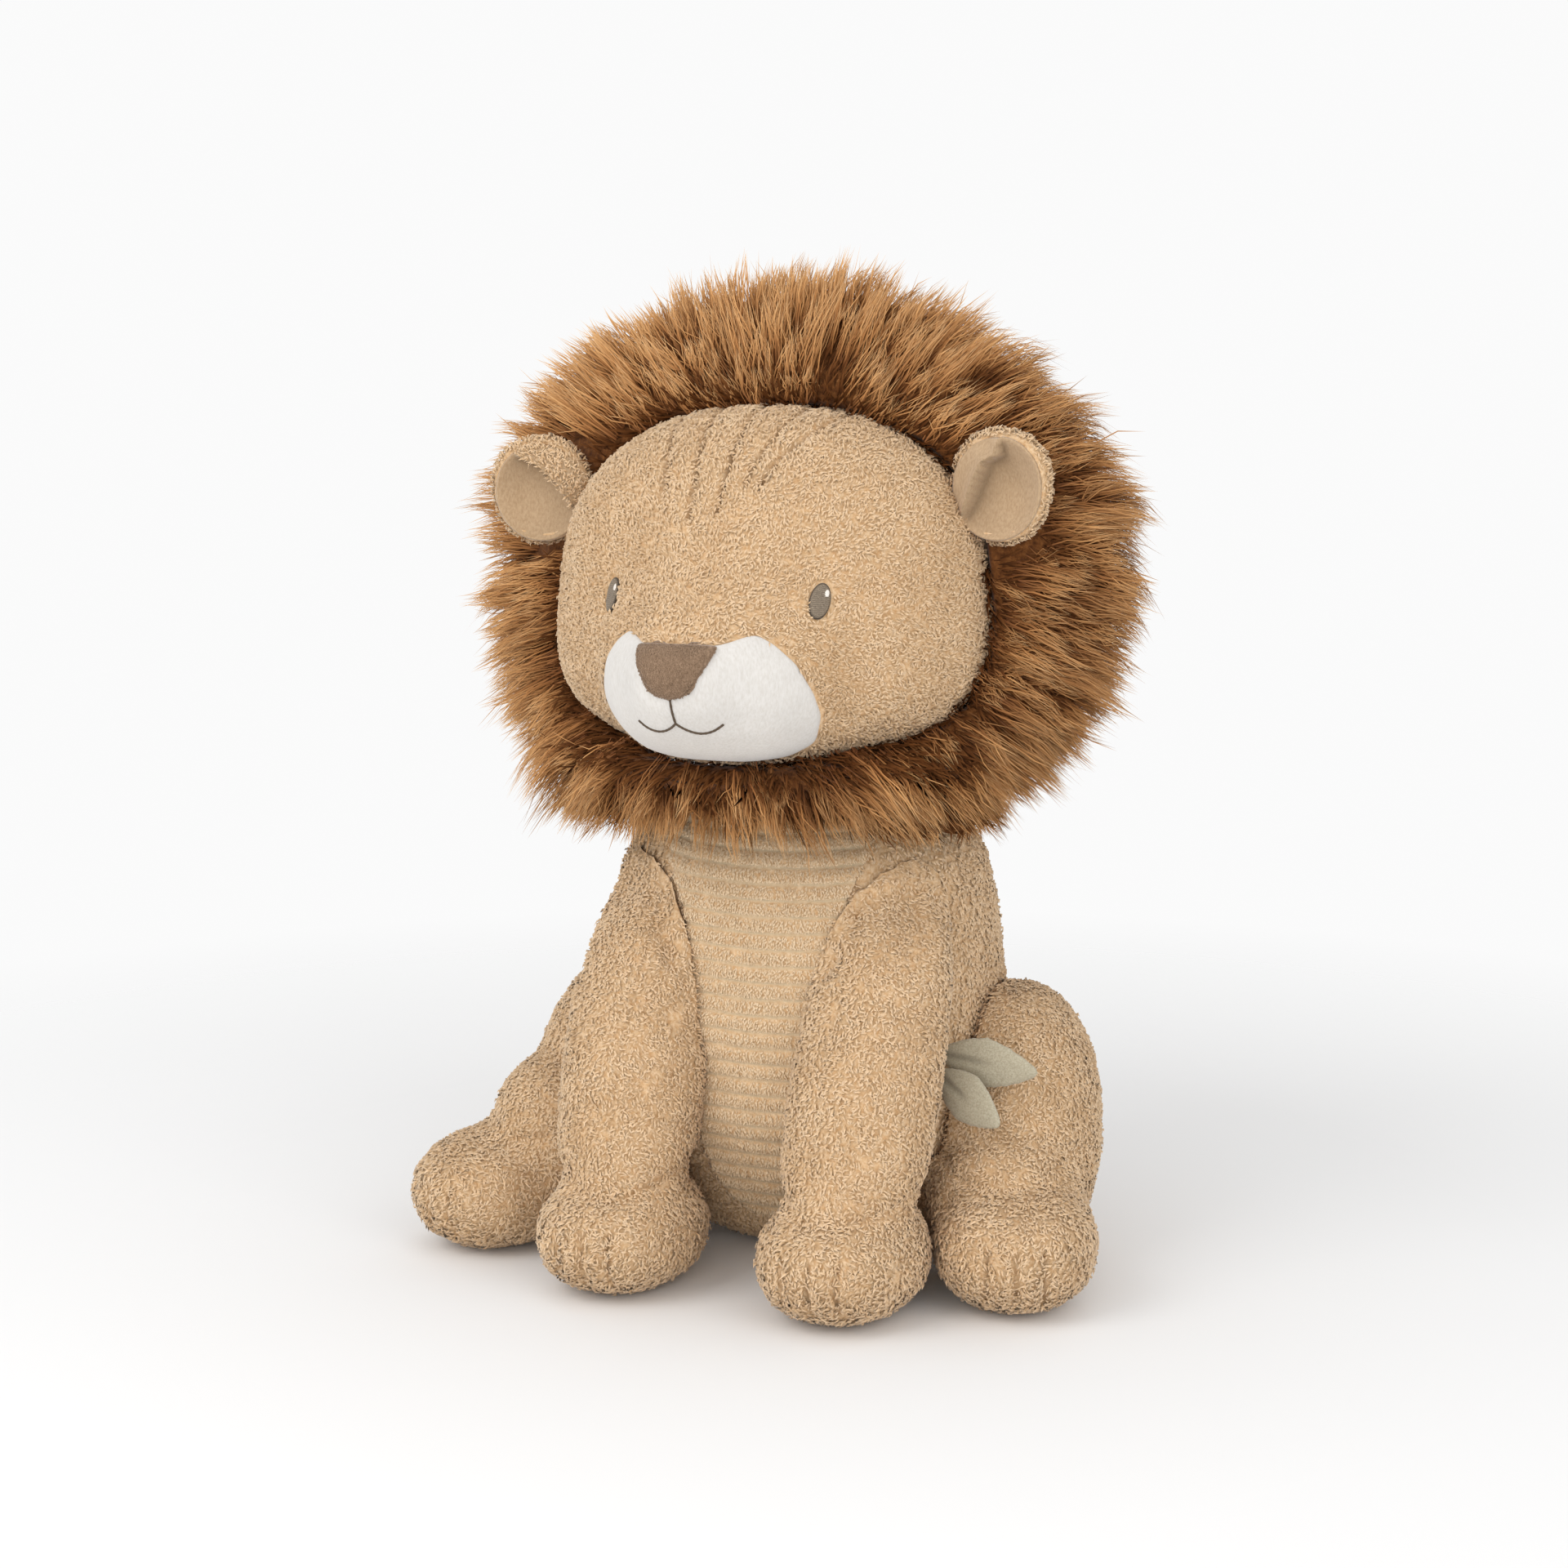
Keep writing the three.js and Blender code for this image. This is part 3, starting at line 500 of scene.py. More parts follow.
def settleCover(name, piece):
    # the cover swells where it is free and stays put against its neighbours
    rest = coverRest[name]
    shift = vertexPlaces(piece) - rest
    away = (*coverNodes[name], "pellet_bag", "neck")
    others = [node for nodes in frame["record"]["behaviour"]["bodies"].values() for node in nodes
              if node not in away and "stuffing" not in node]
    around = treeOf(*[cad[node] for node in others])
    gaps = np.array([around.find_nearest(Vector(p))[3] for p in rest])
    limit = coverLook["swell"] * softStep(gaps, coverLook["heldWithin"], coverLook["freeFrom"])
    size = np.maximum(np.linalg.norm(shift, axis=1), 1e-9)
    setPlaces(piece, aboveFloor(rest + shift * np.minimum(1, limit / size)[:, None]))
    applyModifier(piece, "SUBSURF", levels=1, render_levels=1)
    setPlaces(piece, aboveFloor(vertexPlaces(piece)))
    piece.data.shade_smooth()


for name, piece in covers.items():
    settleCover(name, piece)
print("stage: covers stuffed")


# rounder bridge and cheeks, with hollows by the eyes, each alike on both sides
faceSwells = [
    {"across": 0.0, "up": 0.405, "reach": (0.030, 0.034), "rise": 0.0050},
    {"across": 0.060, "up": 0.424, "reach": (0.022, 0.024), "rise": -0.0030},
    {"across": 0.088, "up": 0.352, "reach": (0.034, 0.030), "rise": 0.0040},
]
faceFront = (0.06, 0.12)


def faceSwell(places):
    rise = np.zeros(len(places))
    for swell in faceSwells:
        for across in sorted({swell["across"], -swell["across"]}, reverse=True):
            away = ((places[:, 0] - across) / swell["reach"][0]) ** 2
            away += ((places[:, 2] - swell["up"]) / swell["reach"][1]) ** 2
            rise += swell["rise"] * np.exp(-away)
    moved = places.copy()
    moved[:, 1] -= rise * softStep(-places[:, 1], *faceFront)
    return moved


setPlaces(covers["headCover"], faceSwell(vertexPlaces(covers["headCover"])))

# seams pressed into the covers

seamShadeCore = 0.55


def seamShadeLayer(piece):
    return piece.data.attributes.get("seamAndShade") or piece.data.attributes.new("seamAndShade", "FLOAT", "POINT")


def carve(piece, distance, width, depth, dark):
    # sinks a line whose distance from each point is given, and darkens its bottom: partly the seam's own
    # darker colour, partly painted shade in the groove
    share = np.exp(-(distance / width) ** 2)
    setPlaces(piece, vertexPlaces(piece) - vertexNormals(piece) * (depth * share)[:, None])
    layer = seamShadeLayer(piece)
    before = np.zeros(len(share), np.float32)
    layer.data.foreach_get("value", before)
    line = np.exp(-(distance / (width * seamShadeCore)) ** 2) * dark
    layer.data.foreach_set("value", np.maximum(before, line).astype(np.float32))


# each tuck: x at its top, x at its lower end, height of its lower end
foreheadTucks = {
    "lines": [(-0.052, -0.037, 0.466), (-0.026, -0.016, 0.452), (0.0, 0.0, 0.457),
              (0.027, 0.013, 0.471), (0.053, 0.021, 0.470)],
    "top": 0.512, "before": -0.05, "bend": 1.3, "width": 0.0024, "depth": 0.0038, "dark": 0.75,
}
farAway = 1.0


def tuckDistance(places):
    nearest = np.full(len(places), farAway)
    for top, bottom, low in foreheadTucks["lines"]:
        share = np.clip((places[:, 2] - low) / (foreheadTucks["top"] - low), 0, 1)
        middle = bottom + (top - bottom) * share ** foreheadTucks["bend"]
        gap = np.abs(places[:, 0] - middle)
        gap = np.where(places[:, 2] < low, np.hypot(gap, places[:, 2] - low), gap)
        gap = np.where(places[:, 1] > foreheadTucks["before"], farAway, gap)
        nearest = np.minimum(nearest, gap)
    return nearest


legSeam = {
    "centre": {"frontLegLeft": 0.060, "frontLegRight": -0.066}, "wander": 0.002, "waves": 40, "low": 0.078,
    "before": -0.07, "width": 0.0022, "depth": 0.0014, "dark": 0.25,
}


def legSeamDistance(centre):
    def distance(places):
        middle = centre + legSeam["wander"] * np.sin(places[:, 2] * legSeam["waves"])
        away = np.hypot(np.abs(places[:, 0] - middle), np.maximum(legSeam["low"] - places[:, 2], 0))
        return np.where(places[:, 1] < legSeam["before"], away, farAway)
    return distance


# where each paw is, which way it points in degrees, the middle of its pile and the seed of that
paws = {
    "frontLegLeft": {"at": (0.070, -0.120), "turn": 0, "nap": (0.070, -0.105), "ankle": 0.066, "seed": 31},
    "frontLegRight": {"at": (-0.070, -0.120), "turn": 0, "nap": (-0.070, -0.105), "ankle": 0.066, "seed": 41},
    "hindLegLeft": {"at": (0.153, -0.067), "turn": 20, "nap": (0.150, -0.055), "ankle": 0.068, "seed": 71},
    "hindLegRight": {"at": (-0.176, -0.078), "turn": -26, "nap": (-0.172, -0.065), "ankle": 0.068,
                     "seed": 81},
}
pawToes = {
    "spread": (-0.017, 0.0, 0.016), "low": 0.014, "high": 0.044, "ahead": 0.02,
    "width": 0.0020, "depth": 0.0034, "dark": 0.6,
}


def pawAhead(paw):
    turn = math.radians(paw["turn"])
    return np.array([math.sin(turn), -math.cos(turn)])


def toeDistance(paw):
    ahead = pawAhead(paw)
    aside = np.array([-ahead[1], ahead[0]])

    def distance(places):
        flat = places[:, :2] - np.array(paw["at"])
        forward, across = flat @ ahead, flat @ aside
        nearest = np.full(len(places), farAway)
        for middle in pawToes["spread"]:
            above = np.maximum(places[:, 2] - pawToes["high"], 0)
            below = np.maximum(pawToes["low"] - places[:, 2], 0)
            gap = np.sqrt((across - middle) ** 2 + above ** 2 + below ** 2)
            nearest = np.minimum(nearest, np.where(forward > pawToes["ahead"], gap, farAway))
        return nearest
    return distance


ankle = {
    "height": 0.069, "slope": 0.28, "level": 0.012, "behind": -0.045,
    "width": 0.0032, "depth": 0.0022, "dark": 0.25,
}


def ankleDistance(paw):
    # the crease where a leg meets its paw, higher towards the toes
    def distance(places):
        forward = (places[:, :2] - np.array(paw["at"])) @ pawAhead(paw)
        gap = np.abs(places[:, 2] - ankle["height"] + ankle["slope"] * (forward - ankle["level"]))
        return np.where(forward > ankle["behind"], gap, gap + (ankle["behind"] - forward))
    return distance


seamLines = {"headCover": [(tuckDistance, foreheadTucks)]}
for name, centre in legSeam["centre"].items():
    seamLines[name] = [(legSeamDistance(centre), legSeam)]
for name, paw in paws.items():
    seamLines.setdefault(name, []).append((toeDistance(paw), pawToes))


def pressSeam(piece, distance, look):
    carve(piece, distance(vertexPlaces(piece)), look["width"], look["depth"], look["dark"])


for name, paw in paws.items():
    pressSeam(covers[name], ankleDistance(paw), ankle)
for name, lines in seamLines.items():
    for distance, look in lines:
        pressSeam(covers[name], distance, look)
print("stage: seams pressed in")


def finish(piece, material, body, nodes):
    piece.data.materials.clear()
    piece.data.materials.append(material)
    if nodes:
        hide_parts(*nodes)
    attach(piece, body)


for name, piece in covers.items():
    finish(piece, pileCloth, coverBody[name], coverNodes[name])


# belly panel, muzzle, nose, ears, leaves, tail: small sewn pieces

ribs = {
    "pitch": 0.0096, "start": 0.272, "halfWidth": 0.067, "sag": 0.005, "crown": 0.0013, "settle": 0.0002,
    "line": 0.0011, "bareHalf": 0.00065, "shortFrom": 0.0004, "shortOver": 0.0030, "shortest": 0.30,
}


def ribRow(places):
    # ribs run across the belly and sag a little towards its middle; grooves lie at whole rows
    bow = ribs["sag"] * (1 - (places[:, 0] / ribs["halfWidth"]) ** 2)
    return (ribs["start"] - (places[:, 2] + bow)) / ribs["pitch"]


def ribDistance(places):
    row = ribRow(places)
    return np.abs(row - np.round(row)) * ribs["pitch"]


def darken(piece, values):
    seamShadeLayer(piece).data.foreach_set("value", np.clip(values, 0, 1).astype(np.float32))


bellyPanel = softShell("bellyPanel", ["belly_panel"], voxel=0.0015, smoothTurns=2, grow=0.0004)
gap = ribDistance(vertexPlaces(bellyPanel))
outward = vertexNormals(bellyPanel)
front = softStep(-outward[:, 1], 0.1, 0.5)
crown = ribs["crown"] * np.sin(np.clip(gap / ribs["pitch"], 0, 0.5) * math.pi) - ribs["settle"]
setPlaces(bellyPanel, vertexPlaces(bellyPanel) + outward * (front * crown)[:, None])
# a greyer line along each groove, with a little painted shade in it
darken(bellyPanel, np.exp(-(gap / ribs["line"]) ** 2))
finish(bellyPanel, ribCloth, "torso", ["belly_panel"])

headTree = treeOf(covers["headCover"])
patchThickness = 0.0016
towardsViewer = np.array([0.0, -1.0, 0.0])


def gridPatch(name, across, along):
    # a flat grid as a round patch: places from -1 to 1 in x and y
    bpy.ops.object.select_all(action="DESELECT")
    bpy.ops.mesh.primitive_grid_add(x_subdivisions=across, y_subdivisions=along, size=2, location=(0, 0, 0))
    piece = bpy.context.object
    piece.name = name
    dropMaps(piece)
    flat = vertexPlaces(piece)
    u, v = flat[:, 0], flat[:, 1]
    return piece, u * np.sqrt(1 - v * v / 2), v * np.sqrt(1 - u * u / 2)


def closePatch(piece, thickness=patchThickness):
    # turns the patch to face the viewer and gives it a back
    if vertexNormals(piece).mean(axis=0) @ towardsViewer < 0:
        selectOnly(piece)
        editMesh(bpy.ops.mesh.flip_normals)
    applyModifier(piece, "SOLIDIFY", thickness=thickness, offset=-1)
    piece.data.shade_smooth()


def onFace(tree, x, z):
    # where a line from the front meets the face, and the way out of it there
    spots, ways = np.empty((len(x), 3)), np.empty((len(x), 3))
    for i in range(len(x)):
        before = Vector((x[i], -0.4, z[i]))
        spots[i], ways[i], _, _ = tree.ray_cast(before, Vector(-towardsViewer))
    return spots, ways


# edges are shares of the half width and the height, from the top round to the bottom or back
muzzleLook = {
    "halfWidth": 0.0655, "base": 0.3180, "height": 0.0742, "centreShare": 0.45, "puff": 0.0026,
    "tuck": 0.0008, "cells": 84,
    "edgeShares": [(0, 0.92), (0.35, 0.92), (0.57, 1), (0.72, 0.92), (0.88, 0.777), (0.98, 0.557),
                   (1, 0.376), (0.88, 0.155), (0.62, 0.04), (0.3, 0), (0, 0)],
}
noseLook = {
    "halfWidth": 0.0235, "base": 0.3580, "height": 0.0285, "centreShare": 0.62, "puff": 0.0032,
    "tuck": -0.0012, "cells": 60,
    "edgeShares": [(0, 1), (0.55, 1), (1, 0.97), (0.88, 0.66), (0.62, 0.3), (0.33, 0.06), (0, 0)],
}
edgePoints, edgeTurns = 400, 26


def easedEdge(look):
    # the outline with its mirrored half, rounded at its corners
    half = np.array(look["edgeShares"], float)
    half[:, 0] *= look["halfWidth"]
    half[:, 1] = look["base"] + half[:, 1] * look["height"]
    ring = np.vstack([half, np.column_stack([-half[1:-1, 0], half[1:-1, 1]])[::-1]])
    fine = np.vstack([ring, ring[:1]])
    along = np.linspace(0, len(ring), edgePoints, endpoint=False)
    smooth = np.column_stack([np.interp(along, np.arange(len(fine)), fine[:, k]) for k in range(2)])
    for _ in range(edgeTurns):
        smooth = (np.roll(smooth, 1, axis=0) + smooth + np.roll(smooth, -1, axis=0)) / 3
    return smooth


def sewnPatch(name, look, tree):
    # a puffed patch inside an outline on the face
    centre = np.array([0, look["base"] + look["centreShare"] * look["height"]])
    away = easedEdge(look) - centre
    angles, reaches = np.arctan2(away[:, 1], away[:, 0]), np.hypot(away[:, 0], away[:, 1])
    order = np.argsort(angles)
    piece, u, v = gridPatch(name, look["cells"], look["cells"])
    reach = np.interp(np.arctan2(v, u), angles[order], reaches[order], period=2 * math.pi)
    spots, ways = onFace(tree, centre[0] + u * reach, centre[1] + v * reach)
    edge = np.clip(np.hypot(u, v), 0, 1)
    height = look["puff"] * np.sqrt(np.clip(1 - edge ** 7, 0, 1)) - look["tuck"] * (edge > 0.999)
    setPlaces(piece, spots + ways * height[:, None])
    closePatch(piece)
    return piece


muzzlePanel = sewnPatch("muzzlePanel", muzzleLook, headTree)
finish(muzzlePanel, whiteVelour, "head", ["muzzle_panel"])
muzzleTree = treeOf(muzzlePanel, covers["headCover"])
nosePatch = sewnPatch("nosePatch", noseLook, muzzleTree)
finish(nosePatch, noseVelour, "head", ["nose"])
print("stage: belly, muzzle and nose made")

# eyes and mouth
eyeLook = {
    "x": 0.0630, "z": 0.4082, "halfWidth": 0.0049, "halfHeight": 0.0097, "proud": 0.0006, "rise": 0.0016,
    "seat": 0.0002, "thickness": 0.0012, "rowPitch": 0.00105, "rowRise": 0.00030, "rowWander": 0.12,
    "rimDark": 0.75, "rimFrom": 0.84, "rimTo": 0.96, "paintedRowShade": 0.65, "cells": (34, 84),
}
glintLook = {
    "off": (0.0024, 0.0036), "half": (0.0012, 0.0022), "proud": 0.0022, "rise": 0.0005,
    "thickness": 0.0010, "cells": (10, 16),
}


def sewEye(side, sign):
    eye, u, v = gridPatch("eye" + side.capitalize(), *eyeLook["cells"])
    x, z = sign * eyeLook["x"] + u * eyeLook["halfWidth"], eyeLook["z"] + v * eyeLook["halfHeight"]
    spots, ways = onFace(headTree, x, z)
    out = u * u + v * v
    pitch = eyeLook["rowPitch"]
    rows = np.abs(np.sin(math.pi * (z + eyeLook["rowWander"] * pitch * np.sin(u * 9)) / pitch))
    height = eyeLook["proud"] + eyeLook["rise"] * np.sqrt(np.clip(1 - out ** 2, 0, 1))
    height += eyeLook["rowRise"] * rows * (1 - out ** 3)
    setPlaces(eye, spots + ways * (height + eyeLook["seat"])[:, None])
    # a darker rim thread round the eye, and painted shade in the grooves between the thread rows
    rim = softStep(np.sqrt(out), eyeLook["rimFrom"], eyeLook["rimTo"])
    darken(eye, eyeLook["rimDark"] * rim + eyeLook["paintedRowShade"] * (1 - rows) ** 2)
    closePatch(eye, eyeLook["thickness"])
    finish(eye, eyeThread, "head", [f"eye_{side}"])
    return eye


def sewGlint(side, sign):
    # the light stitches high on the eye
    glint, u, v = gridPatch("eyeGlint" + side.capitalize(), *glintLook["cells"])
    x = sign * eyeLook["x"] + glintLook["off"][0] + u * glintLook["half"][0]
    z = eyeLook["z"] + glintLook["off"][1] + v * glintLook["half"][1]
    spots, ways = onFace(headTree, x, z)
    height = glintLook["proud"] + glintLook["rise"] * np.sqrt(np.clip(1 - u * u - v * v, 0, 1))
    setPlaces(glint, spots + ways * height[:, None])
    closePatch(glint, glintLook["thickness"])
    finish(glint, eyeGlint, "head", [])


eyes = {}
for side, sign in (("left", 1), ("right", -1)):
    eyes[side] = sewEye(side, sign)
    sewGlint(side, sign)

mouthLook = {
    "top": 0.3590, "lip": 0.3442, "halfWidth": 0.0250, "sag": 0.0062, "radius": 0.00068, "sides": 8,
    "sunkShare": 0.35, "lumps": 0.12, "lumpTurn": 1.9, "overlap": 0.0004, "arcPoints": 40, "dropPoints": 14,
    "arcShares": [(0, 0), (0.15, 0.5), (0.45, 1.0), (0.78, 0.72), (1.0, 0.0)], "arcTurns": 30,
}


def threadLine(name, x, z):
    # a round thread laid along points on the muzzle
    radius, sides = mouthLook["radius"], mouthLook["sides"]
    spots, ways = onFace(muzzleTree, x, z)
    spots = spots + ways * radius * mouthLook["sunkShare"]
    aside = unit(np.cross(ways, unit(np.gradient(spots, axis=0))))
    angles = np.linspace(0, 2 * math.pi, sides, endpoint=False)
    places, faces = [], []
    for i in range(len(spots)):
        size = radius * (1 + mouthLook["lumps"] * math.sin(i * mouthLook["lumpTurn"]))
        places += [spots[i] + size * (math.cos(a) * aside[i] + math.sin(a) * ways[i]) for a in angles]
    for i in range(len(spots) - 1):
        for k in range(sides):
            a, b = i * sides + k, i * sides + (k + 1) % sides
            faces.append((a, a + sides, b + sides, b))
    faces.append(tuple(range(sides)))
    faces.append(tuple(reversed(range((len(spots) - 1) * sides, len(spots) * sides))))
    piece = newPiece(name, places, faces)
    piece.data.shade_smooth()
    return piece


def easedArc(side):
    shares = np.array(mouthLook["arcShares"])
    along = np.linspace(0, len(shares) - 1, mouthLook["arcPoints"])
    arc = np.column_stack([np.interp(along, np.arange(len(shares)), shares[:, k]) for k in range(2)])
    for _ in range(mouthLook["arcTurns"]):
        arc[1:-1] = (arc[:-2] + arc[1:-1] + arc[2:]) / 3
    return side * arc[:, 0] * mouthLook["halfWidth"], mouthLook["lip"] - arc[:, 1] * mouthLook["sag"]


drop = np.linspace(mouthLook["top"], mouthLook["lip"] - mouthLook["overlap"], mouthLook["dropPoints"])
mouthParts = [threadLine("mouthArc", *easedArc(1)), threadLine("mouthArcFar", *easedArc(-1)),
              threadLine("mouthDrop", np.zeros(len(drop)), drop)]
selectOnly(*mouthParts)
bpy.ops.object.join()
mouthLine = bpy.context.view_layer.objects.active
mouthLine.name = "mouthLine"
selectOnly(mouthLine)
editMesh(bpy.ops.mesh.normals_make_consistent, inside=False)
finish(mouthLine, mouthThread, "head", ["mouth_stitch"])
print("stage: eyes and mouth sewn")

# ears: a pile back and a smooth lining whose head side is folded over
earLook = {
    "at": (0.146, -0.071, 0.469), "lean": 10, "halfWidth": 0.0272, "halfHeight": 0.0296, "rim": -0.0052,
    "bowl": 0.0085, "fold": 0.0095, "cliff": 0.016, "foldReach": 0.35, "wave": 0.0006, "drop": 0.0012,
    "shift": {"left": (-0.0050, 0, 0.0005), "right": (0.0005, 0, -0.0050)}, "squat": 0.95, "cells": (54, 58),
    "bowlUnderFold": 0.25, "paintedFoldShade": 0.42, "paintedFoldShadeReach": 0.10, "paintedBowlShade": 0.26, "paintedBowlShadeReach": 0.80,
}
earFolds = {
    "left": [(-0.10, 1.05), (-0.03, 0.66), (-0.30, 0.46), (-0.42, 0.05),
             (-0.50, -0.35), (-0.62, -0.80), (-0.66, -1.2)],
    "right": [(0.62, 1.10), (0.44, 0.86), (-0.05, 0.58), (-0.50, 0.06), (-0.78, -0.50), (-0.90, -1.1)],
}


def foldSide(points, line):
    # signed distance to a fold line, positive on its head side
    line = np.array(line)
    best, sign = np.full(len(points), 9.0), np.ones(len(points))
    for start, end in zip(line[:-1], line[1:]):
        run = end - start
        share = np.clip(((points - start) @ run) / (run @ run), 0, 1)
        gap = points - start - share[:, None] * run
        away = np.hypot(gap[:, 0], gap[:, 1])
        nearer = away < best
        best[nearer] = away[nearer]
        turn = run[0] * (points[:, 1] - start[1]) - run[1] * (points[:, 0] - start[0])
        sign[nearer] = np.where(turn[nearer] > 0, -1, 1)
    return best * sign


def sewEarBack(side):
    piece = softShell("earBack" + side.capitalize(), [f"ear_{side}_back"], voxel=0.0016, smoothTurns=5)
    places = vertexPlaces(piece) + np.array(earLook["shift"][side])
    middle = earLook["at"][2]
    places[:, 2] = middle + (places[:, 2] - middle) * earLook["squat"]
    setPlaces(piece, places)
    finish(piece, pileCloth, f"ear_{side}", [f"ear_{side}_back"])
    return piece


def sewEarLining(side, sign, place):
    # a bowl whose head side stands up and folds over it
    piece, u, v = gridPatch("earLining" + side.capitalize(), *earLook["cells"])
    radius = np.sqrt(u * u + v * v)
    fold = foldSide(np.column_stack([u, v]), earFolds[side])
    over = softStep(fold, -earLook["cliff"], earLook["cliff"])
    bowl = earLook["bowl"] * (1 - radius ** 2.4)
    flap = -earLook["fold"] * np.exp(-np.abs(fold) / earLook["foldReach"]) * (1 - radius ** 6)
    depth = earLook["rim"] + bowl * (1 - over) + (bowl * earLook["bowlUnderFold"] + flap) * over
    depth += earLook["wave"] * np.sin(u * 5 + v * 3) * (1 - radius ** 2)
    up = v * earLook["halfHeight"] * earLook["squat"] - earLook["drop"]
    local = np.column_stack([sign * u * earLook["halfWidth"], depth, up])
    setPlaces(piece, np.array([place @ Vector(p) for p in local]) + np.array(earLook["shift"][side]))
    # painted shade: darker under the fold and down in the bowl beside it
    shade = earLook["paintedFoldShade"] * np.exp(-((fold + 0.02) / earLook["paintedFoldShadeReach"]) ** 2)
    shade = shade + earLook["paintedBowlShade"] * np.exp(-(fold / earLook["paintedBowlShadeReach"]) ** 2)
    darken(piece, shade * softStep(-fold, -0.02, 0.02) * softStep(1 - radius, 0.0, 0.15))
    closePatch(piece)
    finish(piece, earVelour, f"ear_{side}", [f"ear_{side}_lining"])
    return piece


earPlaces = {}
for side, sign in (("left", 1), ("right", -1)):
    covers["earBack" + side.capitalize()] = sewEarBack(side)
    lean = math.radians(earLook["lean"] * sign)
    x, y, z = earLook["at"]
    tilt = Matrix.Rotation(-lean, 4, "Z") @ Matrix.Rotation(lean, 4, "Y")
    place = Matrix.Translation((sign * x, y, z)) @ tilt
    covers["earLining" + side.capitalize()] = sewEarLining(side, sign, place)
    earPlaces[side] = (Matrix.Translation(earLook["shift"][side]) @ place).inverted()
print("stage: ears made")

leafLook = {
    "grow": 1.09, "creaseWidth": 0.0020, "pinch": 0.62, "pinchTo": 0.62, "pinchOver": 0.4, "dark": 0.5,
}
leaves = {
    "upper": {"lift": (0, 0, 0.0035), "drop": 5, "aim": (1, -0.14, 0.03), "long": 0.062},
    "lower": {"lift": (0, -0.0035, 0.0150), "drop": 12, "aim": (0.87, -0.36, -0.22), "long": 0.052},
}


def sewLeaf(name, look):
    leaf = softShell("leaf" + name.capitalize(), [f"leaf_{name}"], voxel=0.0010, smoothTurns=4)
    aim = Vector(look["aim"]).normalized()
    wide = aim.cross(Vector(towardsViewer)).normalized()
    thick = aim.cross(wide)
    places = vertexPlaces(leaf)
    root = places[np.argmin(places @ np.array(aim))]
    along, across, deep = [(places - root) @ np.array(way) for way in (aim, wide, thick)]
    middle = (across.max() + across.min()) / 2
    across = across - middle
    share = np.clip(along / look["long"], 0, 1)
    crease = softStep(leafLook["pinchTo"] - share, 0, leafLook["pinchOver"])
    pinch = np.exp(-(across / leafLook["creaseWidth"]) ** 2) * crease
    deep = deep * (1 - leafLook["pinch"] * pinch)
    places = (np.outer(along * leafLook["grow"], aim)
              + np.outer((across * leafLook["grow"] + middle), wide) + np.outer(deep, thick))
    places = places @ np.array(Matrix.Rotation(math.radians(look["drop"]), 3, "Y")).T
    setPlaces(leaf, places + root + np.array(look["lift"]))
    # painted shade down the pinched crease
    darken(leaf, leafLook["dark"] * pinch)
    finish(leaf, sageVelour, f"leaf_{name}", [f"leaf_{name}"])


for name, look in leaves.items():
    sewLeaf(name, look)

covers["tailCover"] = softShell("tailCover", ["tail"], voxel=0.0025, smoothTurns=3)
finish(covers["tailCover"], pileCloth, "tail", ["tail"])
neckCover = softShell("neckCover", ["neck"], voxel=0.004, smoothTurns=3)
finish(neckCover, pileCloth, "neck", ["neck"])
print("stage: leaves, tail and neck made")


# short curly pile

scatterLook = {"over": 2.2, "cell": 0.86}


def scatter(piece, spacing, seed, keep=None):
    # evenly spread points on a piece, with their normals
    places, normals, faces = vertexPlaces(piece), vertexNormals(piece), triangles(piece)
    corners = places[faces]
    areas = np.linalg.norm(np.cross(corners[:, 1] - corners[:, 0], corners[:, 2] - corners[:, 0]), axis=1) / 2
    draw = np.random.default_rng(seed)
    count = int(areas.sum() / spacing ** 2 * scatterLook["over"])
    chosen = draw.choice(len(faces), count, p=areas / areas.sum())
    mix = draw.random((count, 2))
    flip = mix.sum(axis=1) > 1
    mix[flip] = 1 - mix[flip]
    share = np.column_stack([1 - mix.sum(axis=1), mix])
    points = (corners[chosen] * share[:, :, None]).sum(axis=1)
    facing = unit((normals[faces[chosen]] * share[:, :, None]).sum(axis=1))
    # one point for each small cube of space, told apart by three large primes
    cells = np.floor(points / (spacing * scatterLook["cell"])).astype(np.int64)
    key = (cells[:, 0] * 73856093) ^ (cells[:, 1] * 19349663) ^ (cells[:, 2] * 83492791)
    _, first = np.unique(key, return_index=True)
    first.sort()
    points, facing = points[first], facing[first]
    if keep is not None:
        held = keep(points, facing)
        points, facing = points[held], facing[held]
    return points, facing


